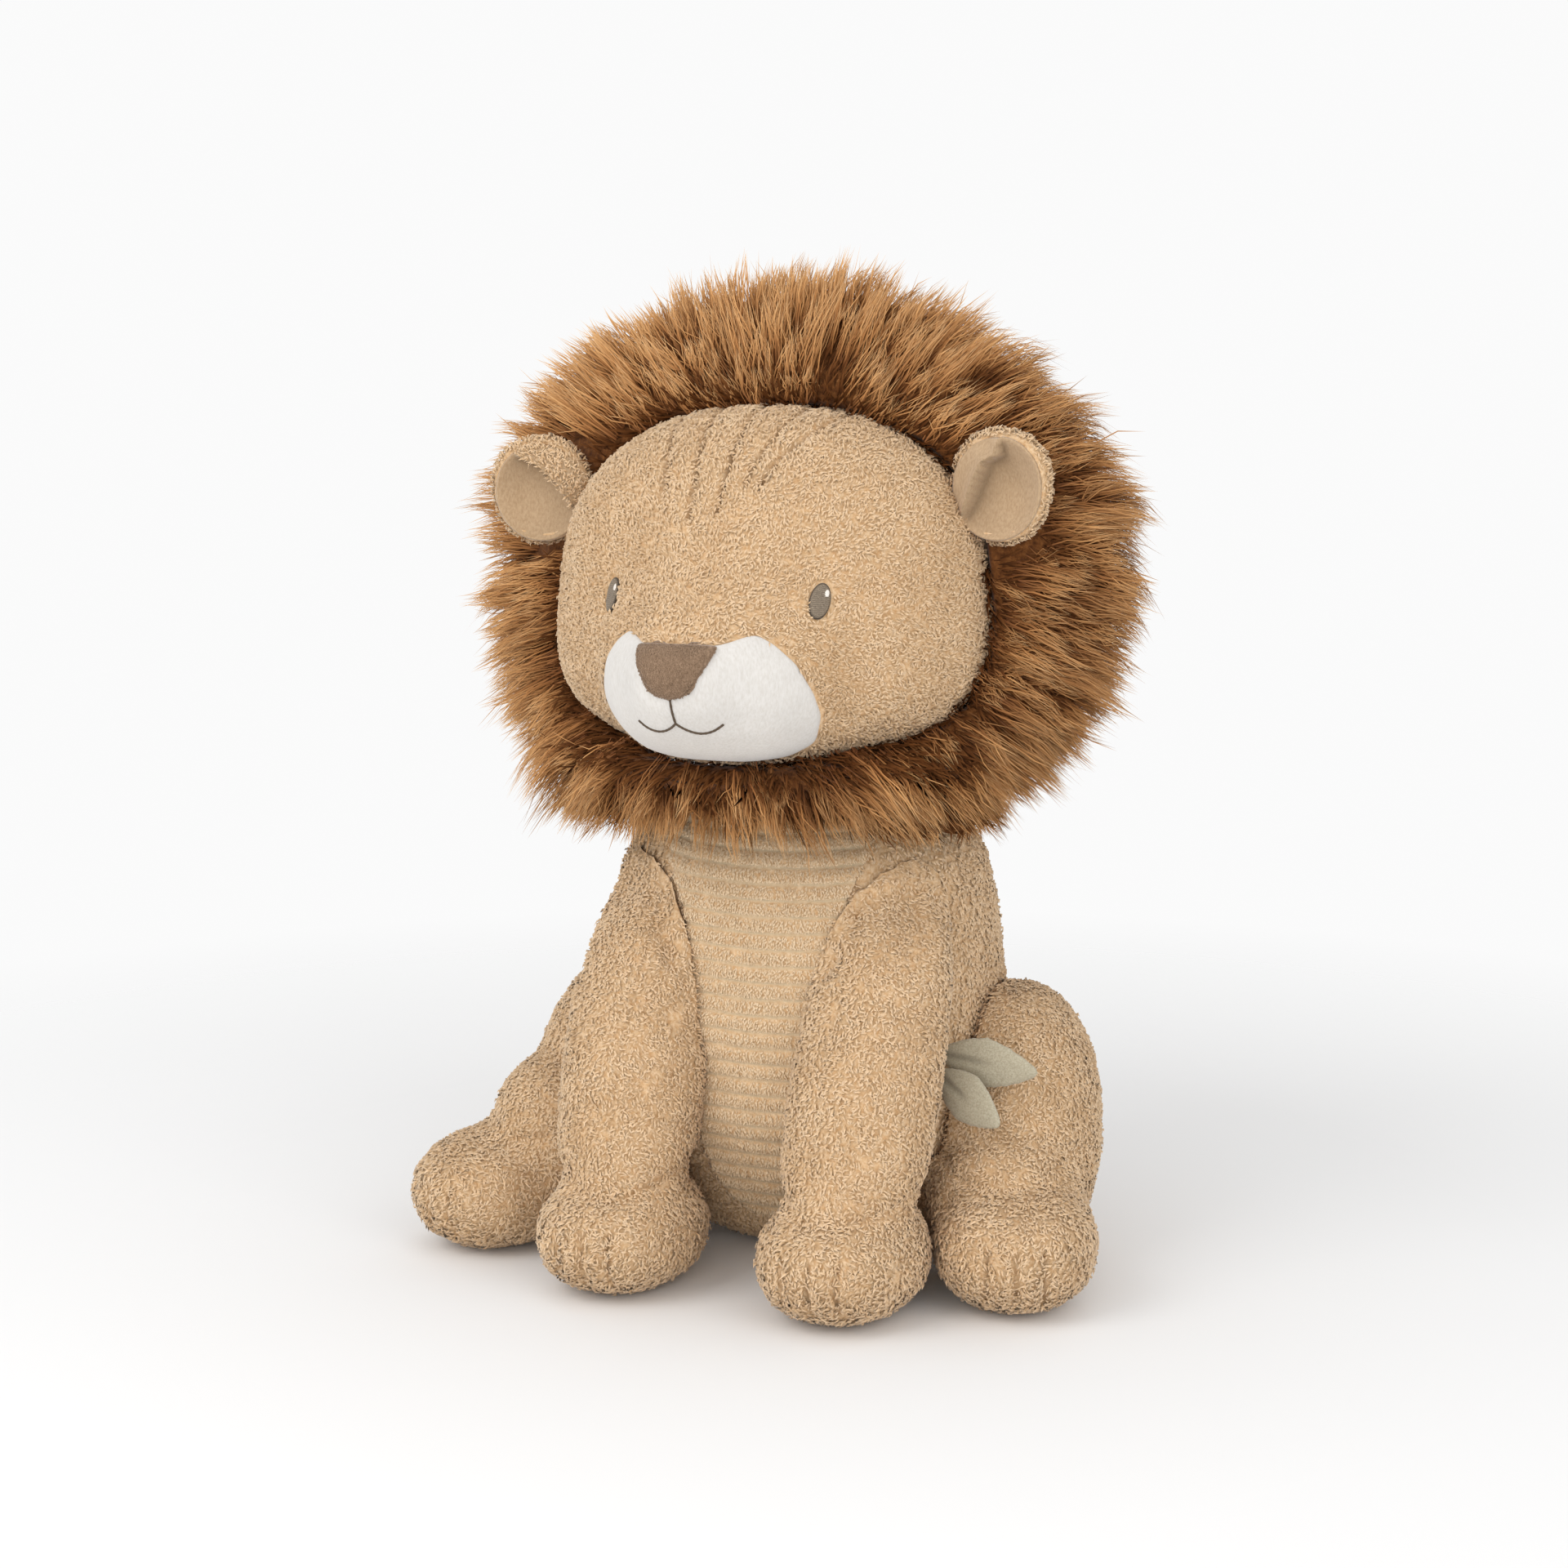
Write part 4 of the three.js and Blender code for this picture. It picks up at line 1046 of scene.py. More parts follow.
def strandMesh(name, root, rings, tip, normals, tones, material):
    # a tuft swells from a root point to one ring and ends in a tip; a hair is a ribbon of corner pairs
    count = len(rings[0])
    places = np.concatenate(([] if root is None else [root[:, None]]) + rings + [tip[:, None]], axis=1)
    each = places.shape[1]
    if root is not None:
        ends = [(1, 2), (2, 3), (3, 1)]
        faces = [(b, a, 0) for a, b in ends] + [(a, b, 4) for a, b in ends]
        heights = np.array([0.0, 0.5, 0.5, 0.5, 1.0])
    else:
        faces = []
        for a in range(0, 2 * (len(rings) - 1), 2):
            faces += [(a, a + 1, a + 3), (a, a + 3, a + 2)]
        faces.append((each - 3, each - 2, each - 1))
        heights = np.append(np.repeat(np.arange(len(rings)) / len(rings), 2), 1.0)
    allFaces = (np.array(faces)[None] + (np.arange(count) * each)[:, None, None]).reshape(-1, 3)
    mesh = bpy.data.meshes.new(name)
    mesh.vertices.add(count * each)
    mesh.vertices.foreach_set("co", places.reshape(-1).astype(np.float32))
    mesh.loops.add(len(allFaces) * 3)
    mesh.loops.foreach_set("vertex_index", allFaces.reshape(-1).astype(np.int32))
    mesh.polygons.add(len(allFaces))
    mesh.polygons.foreach_set("loop_start", np.arange(0, len(allFaces) * 3, 3, dtype=np.int32))
    mesh.update(calc_edges=True)
    v = np.tile(heights, count)
    u = np.repeat(tones, each)
    uv = np.column_stack([u, v])[allFaces.reshape(-1)]
    layer = mesh.uv_layers.new(name="OFBake")
    layer.data.foreach_set("uv", np.clip(uv, 0.002, 0.998).astype(np.float32).ravel())
    mesh.shade_smooth()
    mesh.normals_split_custom_set_from_vertices(normals.reshape(-1, 3).astype(np.float32))
    mesh.materials.append(material)
    piece = bpy.data.objects.new(name, mesh)
    bpy.context.collection.objects.link(piece)
    return piece


def ringAt(centre, aim, aside, radius):
    # three corners round a tuft
    other = np.cross(aim, aside)
    turns = [math.pi / 2 + k * 2 * math.pi / 3 for k in range(3)]
    return np.stack([centre + radius * (math.cos(t) * aside + math.sin(t) * other) for t in turns], axis=1)


# turn is how far a tuft wanders from the nap: swirl in patches of swirlSize, mess on its own
pileLooks = {
    "face": {"spacing": 0.00195, "length": 0.0043, "width": 0.00126, "stand": 0.40, "mess": 0.65,
             "swirl": 1.0, "swirlSize": 0.015, "curl": 0.30},
    "limb": {"spacing": 0.00215, "length": 0.0048, "width": 0.0014, "stand": 0.42, "mess": 0.70,
             "swirl": 1.1, "swirlSize": 0.017, "curl": 0.32},
    "body": {"spacing": 0.0026, "length": 0.0050, "width": 0.0016, "stand": 0.40, "mess": 0.70,
             "swirl": 1.1, "swirlSize": 0.017, "curl": 0.30},
    "ear": {"spacing": 0.0016, "length": 0.0042, "width": 0.0011, "stand": 0.50, "mess": 0.9,
            "swirl": 1.0, "swirlSize": 0.012, "curl": 0.35},
    "rib": {"spacing": 0.00142, "length": 0.0030, "width": 0.0010, "stand": 0.34, "mess": 0.28,
            "swirl": 0.35, "swirlSize": 0.020, "curl": 0.15},
    "nose": {"spacing": 0.00085, "length": 0.0013, "width": 0.00055, "stand": 0.45, "mess": 0.30,
             "swirl": 0.2, "swirlSize": 0.02, "curl": 0.1},
}
pileBack = {"fewer": 0.45, "wider": 0.7, "from": 0.1, "to": 0.5}
tuftLook = {
    "longFrom": 0.75, "longTo": 1.2, "standMess": 0.13, "standFrom": 0.12, "standTo": 0.95, "sunk": 0.0005,
    "middleUp": 0.72, "middleRun": 0.42, "middleCurl": 0.35, "tipUp": 0.80, "tipRun": 0.95,
    "wideFrom": 0.8, "wideTo": 1.25, "belly": 1.12, "floor": 0.0003, "round": 0.36, "sparkle": 0.10,
    "toneSize": 0.035, "tonePatch": 0.26, "toneMess": 0.22,
}


def growPile(cover, look, flow, seed, keep=None, longer=None):
    points, facing = scatter(cover, look["spacing"], seed, keep)
    draw = np.random.default_rng(seed + 1)
    # fewer and wider tufts on the back of the toy
    behind = pileBack["fewer"] * softStep(facing[:, 1], pileBack["from"], pileBack["to"])
    kept = draw.random(len(points)) > behind
    points, facing, behind = points[kept], facing[kept], behind[kept]
    count = len(points)
    nap = flow(points, facing)
    nap = unit(nap - facing * (nap * facing).sum(axis=1)[:, None])
    aside = np.cross(facing, nap)
    turn = look["swirl"] * ripple(points, look["swirlSize"], seed + 2) + draw.normal(0, look["mess"], count)
    heading = nap * np.cos(turn)[:, None] + aside * np.sin(turn)[:, None]
    across = np.cross(facing, heading)
    long = look["length"] * draw.uniform(tuftLook["longFrom"], tuftLook["longTo"], count)[:, None]
    if longer is not None:
        long = long * longer(points)[:, None]
    up = draw.normal(look["stand"], tuftLook["standMess"], count)
    up = np.clip(up, tuftLook["standFrom"], tuftLook["standTo"])[:, None]
    run = np.sqrt(1 - up ** 2)
    radius = look["width"] / 2 * draw.uniform(tuftLook["wideFrom"], tuftLook["wideTo"], count)[:, None]
    radius = radius * (1 + pileBack["wider"] * behind)[:, None]
    curl = draw.normal(0, look["curl"], count)[:, None]
    root = points - facing * tuftLook["sunk"]
    middle = points + long * (facing * up * tuftLook["middleUp"] + heading * run * tuftLook["middleRun"]
                              + across * curl * tuftLook["middleCurl"])
    tip = points + long * (facing * up * tuftLook["tipUp"] + heading * run * tuftLook["tipRun"]
                           + across * curl)
    ring = ringAt(middle, unit(tip - root), across, radius * tuftLook["belly"])
    for part in (ring, tip):
        part[..., 2] = np.maximum(part[..., 2], tuftLook["floor"])
    sides = unit(facing[:, None] + tuftLook["round"] * unit(ring - middle[:, None]))
    normals = np.concatenate([facing[:, None], sides, facing[:, None]], axis=1)
    normals = unit(normals + tuftLook["sparkle"] * draw.normal(size=(count, 1, 3)))
    tones = 0.5 + tuftLook["tonePatch"] * ripple(points, tuftLook["toneSize"], seed + 3)
    tones = tones + draw.normal(0, tuftLook["toneMess"], count)
    return root, [ring], tip, normals, np.clip(tones, 0, 1)


def placeStrands(name, grown, material, body, limit=190000):
    # splits the strands into pieces that stay light
    root, rings, tip, normals, tones = grown
    most = limit // (2 * len(rings) - 1 if root is None else 6)
    count = len(tones)
    for number, start in enumerate(range(0, count, most), 1):
        part = slice(start, start + most)
        title = name if count <= most else f"{name}{number}"
        piece = strandMesh(title, None if root is None else root[part], [ring[part] for ring in rings],
                           tip[part], normals[part], tones[part], material)
        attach(piece, body)


# tests that tell where tufts stand: each takes points and the way they face

cadTrees = {name: treeOf(node) for name, node in cad.items()}


def allOf(*tests):
    def test(points, facing):
        held = np.ones(len(points), bool)
        for one in tests:
            spots = np.flatnonzero(held)
            held[spots] = one(points[spots], facing[spots])
        return held
    return test


def insideBox(points, low, high, room):
    return np.all((points > np.array(low) - room) & (points < np.array(high) + room), axis=1)


def clearOfCovers(*names, reach=0.004, room=0.002):
    # true unless the point lies this deep inside one of the dressed covers
    trees = [(treeOf(covers[name]), vertexPlaces(covers[name])) for name in names]

    def test(points, facing):
        held = np.ones(len(points), bool)
        for tree, places in trees:
            near = insideBox(points, places.min(axis=0), places.max(axis=0), room)
            spots = np.flatnonzero(near & held)
            held[spots] = depthIn(tree, points[spots]) < reach
        return held
    return test


def offChest(points, facing, below=0.02, gapOver=0.022, wayOver=0.12):
    # false on the side of a leg that lies against the chest
    held = np.ones(len(points), bool)
    for i in np.flatnonzero(points[:, 2] > shoulder["low"] - below):
        _, normal, _, gap = chest.find_nearest(Vector(points[i]))
        held[i] = gap > gapOver or Vector(facing[i]).dot(normal) > wayOver
    return held


def offMane(points, facing):
    return depthIn(cadTrees["mane"], points) <= 0


def farFromSeam(name, reach=0.0011):
    def test(points, facing):
        held = np.ones(len(points), bool)
        for distance, look in seamLines[name]:
            held &= distance(points) > reach * (0.3 + 1.2 * look["dark"])
        return held
    return test


def offFloor(points, facing, height=0.004, under=-0.8):
    return ~((points[:, 2] < height) & (facing[:, 2] < under))


def openTo(node, over=0.009, under=0.0006, room=0.01):
    # true where the sewn panel doesn't lie over the point
    def test(points, facing):
        held = np.ones(len(points), bool)
        for i in np.flatnonzero(insideBox(points, *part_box(node), room)):
            way = Vector(facing[i])
            start = Vector(points[i]) - way * under
            held[i] = cadTrees[node].ray_cast(start, way, over + under)[0] is None
        return held
    return test


def offPatch(piece, reach, room=0.006, under=0.004, ahead=0.012):
    # true where a line out of the cover misses the patch by this much
    tree, places = treeOf(piece), vertexPlaces(piece)
    low, high = places.min(axis=0), places.max(axis=0)

    def test(points, facing):
        held = np.ones(len(points), bool)
        for i in np.flatnonzero(insideBox(points, low, high, room)):
            spot, way = Vector(points[i]), Vector(facing[i])
            covered = tree.ray_cast(spot - way * under, way, ahead)[0] is not None
            held[i] = not covered and tree.find_nearest(spot)[3] > reach
        return held
    return test


def offLining(name, reach=0.0014):
    # true off the lining, so that the pile only frames it
    tree, ahead = treeOf(covers[name]), Vector(towardsViewer)

    def test(points, facing):
        held = np.ones(len(points), bool)
        for i, (point, way) in enumerate(zip(points, facing)):
            spot, needed = Vector(point), reach * (0.4 if way[1] > -0.4 else 1)
            behind = way[1] <= 0.1 and tree.ray_cast(spot, ahead, 0.02)[0] is not None
            held[i] = tree.find_nearest(spot)[3] > needed and not behind
        return held
    return test


def onFold(points, facing):
    # the folded head side of the far ear shows its pile
    local = np.array([earPlaces["right"] @ Vector(p) for p in points])
    across = -local[:, 0] / earLook["halfWidth"]
    up = (local[:, 2] + earLook["drop"]) / earLook["halfHeight"]
    return (foldSide(np.column_stack([across, up]), earFolds["right"]) > 0.01) & (facing[:, 1] < 0)


def facesFront(points, facing):
    return facing[:, 1] < -0.3


def offGroove(points, facing):
    return ribDistance(points) > ribs["bareHalf"]


# flows: the way the nap lies at each point

pileDown = np.array([0.0, -0.25, -1.0])


def flowDown(points, facing):
    return np.tile(pileDown, (len(points), 1))


def flowPlumb(points, facing):
    return np.tile(np.array([0.0, 0.0, -1.0]), (len(points), 1))


faceNap = {"from": (0.0, -0.22, 0.395), "rise": 0.02, "lean": (0.0, 0.15, -0.1)}
pawNap = {"ahead": -0.35, "from": -0.012, "to": 0.02, "height": 0.05, "spread": 0.6, "above": 0.004}


def flowFace(points, facing):
    # out from the middle of the face
    away = points - np.array(faceNap["from"])
    away[:, 2] += faceNap["rise"]
    return unit(away) + np.array(faceNap["lean"])


def pawFlow(paw):
    # down the leg, then forward over the paw
    ahead = np.array([*pawAhead(paw), pawNap["ahead"]])

    def flow(points, facing):
        onPaw = softStep(paw["ankle"] - points[:, 2], pawNap["from"], pawNap["to"])[:, None]
        spread = unit(points - np.array([*paw["nap"], pawNap["height"]]))
        return (1 - onPaw) * pileDown + onPaw * (ahead + pawNap["spread"] * spread)
    return flow


def pawLength(paw, more=0.14):
    return lambda points: 1 + more * softStep(paw["ankle"] + pawNap["above"] - points[:, 2], 0, pawNap["to"])


def ribLength(points):
    # tufts just above a groove stay short, so that its line shows
    row = ribRow(points)
    below = (np.ceil(row) - row) * ribs["pitch"]
    return np.clip((below - ribs["shortFrom"]) / ribs["shortOver"], ribs["shortest"], 1)


covers["bellyPanel"], covers["nosePatch"] = bellyPanel, nosePatch
legs = ("frontLegLeft", "frontLegRight", "hindLegLeft", "hindLegRight")
eyeRoom = 0.0012
faceKeep = allOf(offPatch(muzzlePanel, 0.0004), offPatch(eyes["left"], eyeRoom),
                 offPatch(eyes["right"], eyeRoom), offMane, farFromSeam("headCover"))
torsoKeep = allOf(offFloor, openTo("belly_panel"), clearOfCovers(*legs, "tailCover"))

# name, cover, body, kind, flow, test, seed and length
growths = [
    ("facePile", "headCover", "head", "face", flowFace, faceKeep, 11, None),
    ("torsoPile", "torsoCover", "torso", "body", flowDown, torsoKeep, 23, None),
]
offTorso = clearOfCovers("torsoCover")
for name in legs:
    tests = [offFloor, offTorso, farFromSeam(name)]
    if name.startswith("front"):
        tests.insert(2, offChest)
    growths.append((name + "Pile", name, coverBody[name], "limb", pawFlow(paws[name]), allOf(*tests),
                    paws[name]["seed"], pawLength(paws[name])))
growths += [
    ("earPileLeft", "earBackLeft", "ear_left", "ear", flowFace, offLining("earLiningLeft"), 111, None),
    ("earPileRight", "earBackRight", "ear_right", "ear", flowFace, offLining("earLiningRight"), 121, None),
    ("earFoldPile", "earLiningRight", "ear_right", "ear", flowFace, onFold, 126, None),
    ("tailPile", "tailCover", "tail", "limb", flowDown, None, 131, None),
    ("bellyPile", "bellyPanel", "torso", "rib", flowPlumb, allOf(offGroove, facesFront), 141, ribLength),
    ("noseNap", "nosePatch", "head", "nose", flowPlumb, facesFront, 151, None),
]
pileMaterials = {"bellyPile": "ribStrand", "noseNap": "noseStrand"}
tufts = 0
for name, cover, body, kind, flow, keep, seed, longer in growths:
    grown = growPile(covers[cover], pileLooks[kind], flow, seed, keep, longer)
    tufts += len(grown[-1])
    cloth = strandCloth[pileMaterials.get(name, "pileStrand")]
    placeStrands(name, grown, cloth, body)
print("stage: short pile grown,", tufts, "tufts")


# mane: a dark core with combed locks

maneLook = {
    "coreVoxel": 0.006, "inset": 0.017, "insetShare": 0.40, "fewerBehind": 0.25,
    "lockSpacing": 0.0112, "rimSpacing": 0.0070, "rimDepth": 0.014, "rimFrom": 0.35, "rimTo": 0.9,
    "strands": 31, "steps": 3, "shortest": 0.016, "rootSpread": 0.0082, "tipSpread": 0.0030,
    "longFrom": 0.60, "longTo": 1.04, "behindFrom": 0.06, "farFrom": -0.10, "roll": 0.7,
    "width": 0.00070, "wideFrom": 0.6, "wideTo": 1.3, "taper": (0.5, 0.46, 0.2),
    "drift": 0.0018, "wave": 0.0012, "stray": 0.06, "strayTimes": 3.5, "rootSunk": 0.003,
    "startOut": 0.45, "startCombed": 0.65, "rimSunk": 0.002,
}
# a strand's face turns out of the mane, and its shading normal leans to its own blade
bladeLook = {"outline": 0.7, "middle": 0.3, "from": (0.0, 0.03, 0.40), "litOut": 0.50, "litBlade": 0.62,
             "litMess": 0.12}
coreTest = {"limit": 0.55, "more": 0.35, "before": -0.05, "close": 0.006}
lockLook = {
    "length": 0.082, "longFrom": 0.75, "longTo": 1.2, "hops": 10, "past": (-0.003, 0.008),
    "pastMore": (0.004, 0.013), "moreOften": 0.16, "farPast": 0.008, "combed": 0.70, "flat": 0.30,
    "bend": 0.12, "rise": 0.050, "riseFrom": -0.35, "riseTo": 0.42, "steady": 0.72,
    "turning": 0.28,
}
underLook = {"spacing": 0.0032, "length": 0.020, "width": 0.0015, "stand": 0.22, "mess": 0.22, "swirl": 0.25,
             "swirlSize": 0.03, "curl": 0.10}
maneTone = {
    "patch": 0.18, "patchSize": 0.045, "mess": 0.10, "sunlit": 0.19, "middle": 0.42, "reach": 0.15,
    "share": 0.80, "lift": 0.12, "strandMess": 0.19,
}
comb = {"behindFrom": -0.06, "behindOver": 0.10, "lessOut": 0.62, "back": 0.5, "down": 0.20, "moreDown": 0.75}
earRoom = {"behind": 0.026, "halfWidth": 0.040, "halfHeight": 0.042}
faceCentre = np.array([0.0, -0.06, 0.405])

# the core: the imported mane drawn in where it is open, and the shell it had before as the fur's outline
maneCore = softShell("maneCore", ["mane"], maneLook["coreVoxel"], 6)
within = treeOf(cad["head_cover"], cad["torso_cover"], cad["neck"], cad["muzzle_panel"])
places, normals = vertexPlaces(maneCore), vertexNormals(maneCore)
openShare = np.zeros(len(places))
moved = places.copy()
for i, place in enumerate(places):
    hit, _, _, gap = within.find_nearest(Vector(place))
    toward = np.array(hit) - place
    openShare[i] = softStep(np.array([-(normals[i] @ toward) / max(gap, 1e-6)]), -0.2, 0.3)[0]
    sink = min(maneLook["inset"], gap * maneLook["insetShare"]) * openShare[i]
    moved[i] = place + toward / max(gap, 1e-6) * sink
shellFaces = [tuple(int(i) for i in face) for face in triangles(maneCore) if openShare[face].min() > 0.5]
maneShell = BVHTree.FromPolygons([Vector(p) for p in places], shellFaces, all_triangles=True)
setPlaces(maneCore, moved)
applyModifier(maneCore, "SMOOTH", factor=0.5, iterations=3)
finish(maneCore, maneCloth, "head", ["mane"])


def combedWay(place):
    # the way the long fur is brushed: out from the face, then back and down
    x, _, z = place - faceCentre
    reach = max(math.hypot(x, z), 1e-6)
    out = np.array([x / reach, 0.0, z / reach])
    behind = min(max((place[1] - comb["behindFrom"]) / comb["behindOver"], 0), 1)
    way = out * (1 - comb["lessOut"] * behind) + np.array([0.0, comb["back"] * min(behind * 2, 1), 0.0])
    way += np.array([0, 0, -1.0]) * (comb["down"] + comb["moreDown"] * behind ** 2)
    return way / np.linalg.norm(way)


def outlineAt(point):
    # the way out of the mane's outline, and how far inside it the point lies
    hit, near, _, gap = maneShell.find_nearest(Vector(point))
    normal = np.array(near)
    return normal, gap if (point - np.array(hit)) @ normal < 0 else -gap


def lockPath(root, first, draw):
    # one lock from its root to where it leaves the mane's outline
    length = lockLook["length"] * draw.uniform(lockLook["longFrom"], lockLook["longTo"])
    past = draw.uniform(*lockLook["past"])
    if draw.random() < lockLook["moreOften"]:
        past += draw.uniform(*lockLook["pastMore"])
    if root[0] < maneLook["farFrom"]:
        past += lockLook["farPast"]
    point, path = root.copy(), [root.copy()]
    bend, previous = draw.normal(0, lockLook["bend"]), first
    for _ in range(lockLook["hops"]):
        normal, depth = outlineAt(point)
        way = combedWay(point)
        flatWay = way - normal * (way @ normal)
        direction = lockLook["combed"] * way + lockLook["flat"] * flatWay
        direction = direction + np.cross(normal, direction) * bend
        direction = direction / max(np.linalg.norm(direction), 1e-6)
        rise = np.clip(depth / lockLook["rise"], lockLook["riseFrom"], lockLook["riseTo"])
        direction = direction + normal * rise
        direction /= np.linalg.norm(direction)
        direction = lockLook["steady"] * previous + lockLook["turning"] * direction
        direction /= np.linalg.norm(direction)
        previous = direction
        point = point + direction * length / lockLook["hops"]
        path.append(point.copy())
        if depth < -past:
            break
    path = np.array(path)
    lengths = np.concatenate([[0], np.cumsum(np.linalg.norm(np.diff(path, axis=0), axis=1))])
    spots = np.linspace(0, lengths[-1], maneLook["steps"] + 1)
    return np.column_stack([np.interp(spots, lengths, path[:, k]) for k in range(3)]), lengths[-1]


def coreKeep(points, facing):
    # true where the core doesn't face the head or the body, or lies close against them
    held = np.zeros(len(points), bool)
    for i, point in enumerate(points):
        hit, _, _, gap = within.find_nearest(Vector(point))
        toward = np.array(hit) - point
        limit = coreTest["limit"] + coreTest["more"] * (point[1] < coreTest["before"])
        held[i] = (facing[i] @ toward) / max(gap, 1e-6) < limit or gap < coreTest["close"]
    return held


def rimKeep(points, facing):
    # the band of the head just inside the mane, where the face meets the fur
    depths = depthIn(cadTrees["mane"], points)
    return (depths > 0.0005) & (depths < maneLook["rimDepth"]) & (points[:, 1] < 0.0) & (facing[:, 1] < 0.55)


def earInWay(path):
    # a lock may pass behind an ear and never through or before it
    for place in earPlaces.values():
        for spot in path:
            x, y, z = place @ Vector(spot)
            if y < earRoom["behind"] and math.hypot(x / earRoom["halfWidth"], z / earRoom["halfHeight"]) < 1:
                return True
    return False


def inHead(path):
    # a lock that dips under the head's cover after its root isn't grown
    inside = False
    for spot in path[1:]:
        hit, near, _, _ = cadTrees["head_cover"].find_nearest(Vector(spot))
        inside |= (Vector(spot) - hit).dot(near) < -0.001
    return inside


def combLocks(draw):
    # the middle line of each lock, from the core and from the head just inside the mane
    roots, facing = scatter(maneCore, maneLook["lockSpacing"], 5, coreKeep)
    starts = []
    for root, normal in zip(roots, facing):
        if root[1] > maneLook["behindFrom"] and draw.random() < maneLook["fewerBehind"]:
            continue
        first = maneLook["startOut"] * normal + maneLook["startCombed"] * combedWay(root)
        starts.append((root, first / np.linalg.norm(first)))
    rimRoots, rimFacing = scatter(covers["headCover"], maneLook["rimSpacing"], 9, rimKeep)
    for root, normal in zip(rimRoots, rimFacing):
        first = combedWay(root) + normal * draw.uniform(maneLook["rimFrom"], maneLook["rimTo"])
        starts.append((root - normal * maneLook["rimSunk"], first / np.linalg.norm(first)))
    paths = []
    for root, first in starts:
        path, size = lockPath(root, first, draw)
        if size >= maneLook["shortest"] and not earInWay(path) and not inHead(path):
            paths.append(path)
    print("stage: mane combed,", len(paths), "locks")
    return np.array(paths)


def lockTones(paths, draw):
    # neighbouring locks share a tone, and the top and the lamp's side are lighter
    tones = 0.5 + maneTone["patch"] * ripple(paths[:, 1], maneTone["patchSize"], 17)
    tones = tones + draw.normal(0, maneTone["mess"], len(paths))
    high = (paths[:, 1, 2] - maneTone["middle"]) / maneTone["reach"]
    return tones + maneTone["sunlit"] * (high - paths[:, 1, 0] / maneTone["reach"])


def spreadStrands(paths, lock, draw):
    # each strand starts round its lock's root and runs on to the lock's tip
    steps, count = maneLook["steps"], len(lock)
    base = paths[lock]
    start = unit(base[:, 1] - base[:, 0])
    aside = unit(np.cross(start, np.tile(np.array([0.3, 0.9, 0.1]), (count, 1))))
    other = np.cross(start, aside)
    angle, away = draw.uniform(0, 2 * math.pi, count), np.sqrt(draw.random(count))
    offset = aside * (np.cos(angle) * away)[:, None] + other * (np.sin(angle) * away)[:, None]
    long = draw.uniform(maneLook["longFrom"], maneLook["longTo"], count)
    strand = np.empty((count, steps + 1, 3))
    drift = draw.normal(size=(count, 3)) * maneLook["drift"]
    drift[draw.random(count) < maneLook["stray"]] *= maneLook["strayTimes"]
    wave = draw.normal(size=(count, 3)) * maneLook["wave"]
    for level in range(steps + 1):
        share = level / steps
        where = share * long * steps
        low = np.clip(np.floor(where).astype(int), 0, steps - 1)
        part = (where - low)[:, None]
        middle = base[np.arange(count), low] * (1 - part) + base[np.arange(count), low + 1] * part
        spread = maneLook["rootSpread"] * (1 - share) ** 0.8 + maneLook["tipSpread"] * share
        strand[:, level] = middle + offset * spread + drift * share ** 1.5 + wave * math.sin(share * 6.0)
    strand[:, 0] -= unit(strand[:, 1] - strand[:, 0]) * maneLook["rootSunk"]
    return strand


def growMane():
    draw = np.random.default_rng(7)
    paths = combLocks(draw)
    tones = lockTones(paths, draw)
    lock = np.repeat(np.arange(len(paths)), maneLook["strands"])
    strand = spreadStrands(paths, lock, draw)
    steps, count = maneLook["steps"], len(lock)
    centre = steps // 2
    middleWay = unit(strand[:, centre + 1] - strand[:, centre - 1])
    lockFacing = np.array([outlineAt(path[centre])[0] for path in paths])
    away = unit(strand[:, centre] - np.array(bladeLook["from"]))
    out = unit(bladeLook["outline"] * lockFacing[lock] + bladeLook["middle"] * away)
    roll = draw.uniform(-maneLook["roll"], maneLook["roll"], count)[:, None]
    flat = unit(np.cross(middleWay, out))
    flat = unit(flat * np.cos(roll) + np.cross(middleWay, flat) * np.sin(roll))
    flat *= np.sign((np.cross(flat, middleWay) * out).sum(axis=1))[:, None]
    wide = maneLook["width"] * draw.uniform(maneLook["wideFrom"], maneLook["wideTo"], count)[:, None]
    rings = []
    for level in range(steps):
        half = wide * np.interp(level / steps, [0, 0.5, 1], maneLook["taper"])
        rings.append(np.stack([strand[:, level] - flat * half, strand[:, level] + flat * half], axis=1))
    blade = unit(np.cross(flat, middleWay))
    mess = draw.normal(size=(count, 3))
    lit = unit(bladeLook["litOut"] * out + bladeLook["litBlade"] * blade + bladeLook["litMess"] * mess)
    normals = np.repeat(lit[:, None], 2 * steps + 1, axis=1)
    tone = tones[lock] * maneTone["share"] + draw.normal(maneTone["lift"], maneTone["strandMess"], count)
    grown = (None, rings, strand[:, -1], normals, np.clip(tone, 0, 1))
    placeStrands("maneLocks", grown, strandCloth["maneStrand"], "head")
    print("stage: mane grown,", count, "strands")


growMane()


def underFlow(points, facing):
    return np.array([combedWay(point) for point in points])


def underKeep(points, facing):
    # the undercoat shows only round the face and stops at the ears
    offEars = np.array([not earInWay([p]) for p in points])
    return (points[:, 1] < -0.015) & coreKeep(points, facing) & offEars


undercoat = growPile(maneCore, underLook, underFlow, 171, underKeep)
placeStrands("maneUndercoat", undercoat, strandCloth["maneUnder"], "head")

# tail tuft
tuftCore = softShell("tuftCore", ["tail_tuft"], voxel=0.003, smoothTurns=4, grow=-0.003)
finish(tuftCore, maneCloth, "tail", ["tail_tuft"])
tailTuft = {"spacing": 0.0021, "length": 0.024, "width": 0.0012, "stand": 0.26, "mess": 0.25, "swirl": 0.5,
            "swirlSize": 0.02, "curl": 0.10}


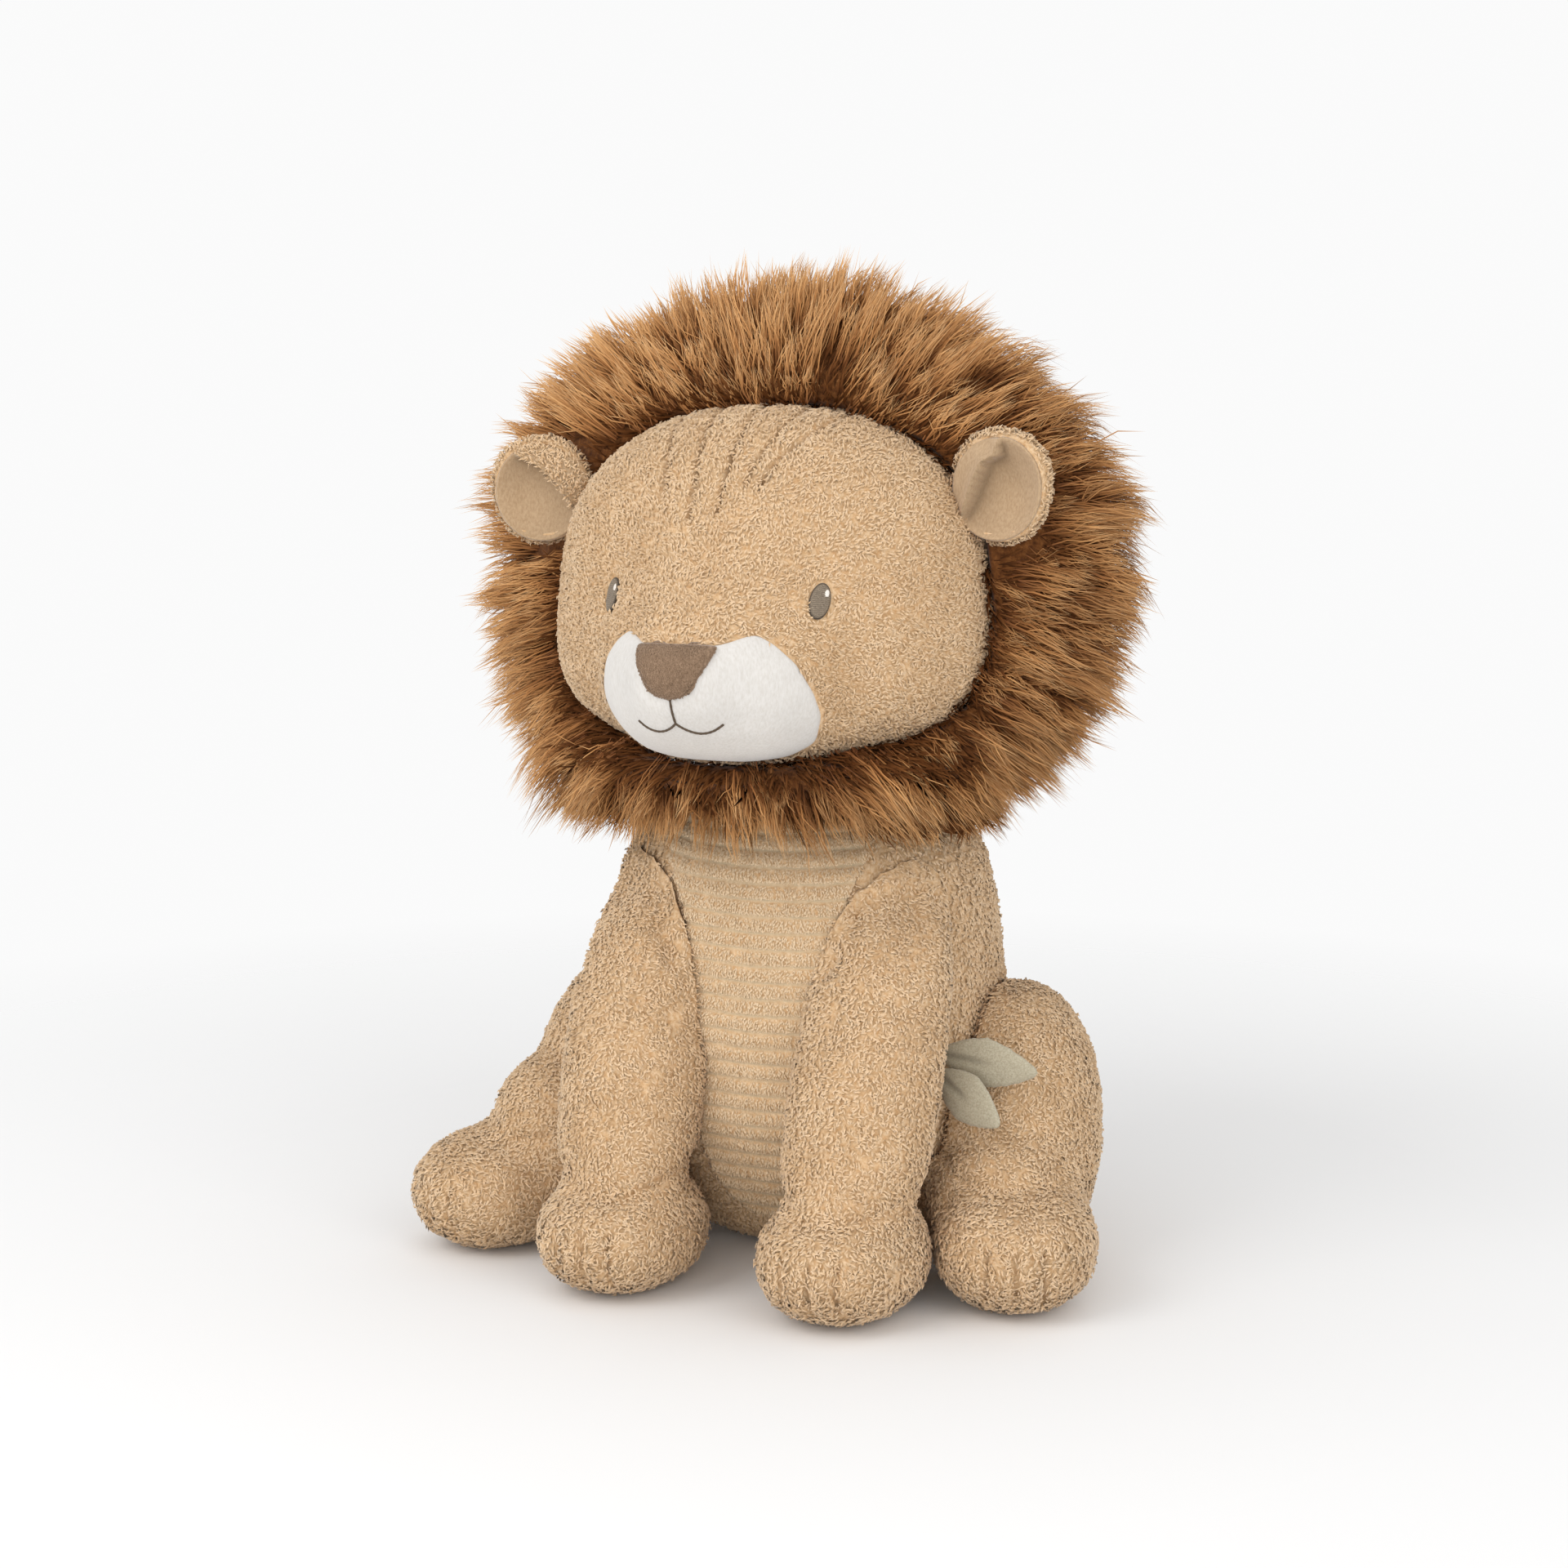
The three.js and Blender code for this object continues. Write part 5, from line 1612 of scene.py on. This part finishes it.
def tuftFlow(points, facing):
    return np.tile(np.array([-0.95, 0.25, 0.1]), (len(points), 1))


tuftFur = growPile(tuftCore, tailTuft, tuftFlow, 161)
placeStrands("tuftFur", tuftFur, strandCloth["maneStrand"], "tail")
print("stage: undercoat and tail tuft grown")


# floor, light and camera

studio = {
    "floorSize": 14, "backdrop": 0.90, "sky": 0.82, "behind": (0.96, 0.96, 0.96, 1),
    "fadeFrom": 0.45, "fadeTo": 1.1,
}
lamps = {
    "keyLamp": {"at": (-0.9, -1.7, 1.6), "aim": (0, 0, 0.3), "size": 1.4, "power": 15.6},
    "lowLamp": {"at": (0.5, -2.1, 0.45), "aim": (0, 0, 0.15), "size": 1.2, "power": 10.4},
    "fillLamp": {"at": (1.9, -1.3, 1.2), "aim": (0, 0, 0.3), "size": 1.6, "power": 12.0},
}
cameraAt = {"place": (0.6074, -1.4916, 0.5147), "turn": 22.78, "down": 8.10, "lens": 61.28, "sensor": 36.0}


def layFloor():
    # a pale sheet that fades out round the lion, so that the sky carries on from it
    bpy.ops.object.select_all(action="DESELECT")
    bpy.ops.mesh.primitive_plane_add(size=studio["floorSize"], location=(0, 0, 0))
    floor = bpy.context.object
    floor.name = "studioFloor"
    material, nodes, links, shader = newMaterial("floorPaper", 0.9, 0, 0.1)
    shader.inputs["Base Color"].default_value = (studio["backdrop"],) * 3 + (1,)
    reach = nodes.new("ShaderNodeVectorMath")
    reach.operation = "LENGTH"
    links.new(objectPlace(nodes), reach.inputs[0])
    fade = nodes.new("ShaderNodeMapRange")
    fade.inputs["From Min"].default_value = studio["fadeFrom"]
    fade.inputs["From Max"].default_value = studio["fadeTo"]
    links.new(reach.outputs["Value"], fade.inputs["Value"])
    clear = nodes.new("ShaderNodeBsdfTransparent")
    blend = nodes.new("ShaderNodeMixShader")
    links.new(fade.outputs["Result"], blend.inputs["Fac"])
    links.new(shader.outputs["BSDF"], blend.inputs[1])
    links.new(clear.outputs["BSDF"], blend.inputs[2])
    links.new(blend.outputs["Shader"], nodes["Material Output"].inputs["Surface"])
    floor.data.materials.append(material)


def raiseSky():
    # white light all round, and a pale grey where the camera looks past the floor
    world = bpy.data.worlds.new("studioSky")
    bpy.context.scene.world = world
    world.use_nodes = True
    nodes, links = world.node_tree.nodes, world.node_tree.links
    background = nodes["Background"]
    background.inputs["Color"].default_value = (1, 1, 1, 1)
    background.inputs["Strength"].default_value = studio["sky"]
    seen = nodes.new("ShaderNodeBackground")
    seen.inputs["Color"].default_value = studio["behind"]
    seen.inputs["Strength"].default_value = 1.0
    path = nodes.new("ShaderNodeLightPath")
    choice = nodes.new("ShaderNodeMixShader")
    links.new(path.outputs["Is Camera Ray"], choice.inputs["Fac"])
    links.new(background.outputs["Background"], choice.inputs[1])
    links.new(seen.outputs["Background"], choice.inputs[2])
    links.new(choice.outputs["Shader"], nodes["World Output"].inputs["Surface"])


def softLamp(name, look):
    bpy.ops.object.light_add(type="AREA", location=look["at"])
    lamp = bpy.context.object
    lamp.name = name
    lamp.data.size = look["size"]
    lamp.data.energy = look["power"]
    lamp.rotation_euler = (Vector(look["aim"]) - Vector(look["at"])).to_track_quat("-Z", "Y").to_euler()


def placeCamera():
    # the photograph's own angle and lens
    cameraData = bpy.data.cameras.new("photoCamera")
    camera = bpy.data.objects.new("photoCamera", cameraData)
    bpy.context.collection.objects.link(camera)
    cameraData.sensor_width = cameraAt["sensor"]
    cameraData.lens = cameraAt["lens"]
    turn, down = math.radians(cameraAt["turn"]), math.radians(cameraAt["down"])
    looking = Vector((-math.sin(turn) * math.cos(down), math.cos(turn) * math.cos(down), -math.sin(down)))
    camera.location = cameraAt["place"]
    camera.rotation_euler = looking.to_track_quat("-Z", "Y").to_euler()
    cameraData.clip_start, cameraData.clip_end = 0.05, 50
    bpy.context.scene.camera = camera


layFloor()
raiseSky()
for name, look in lamps.items():
    softLamp(name, look)
placeCamera()
bpy.context.scene.view_settings.view_transform = "Standard"
print("stage: studio set")
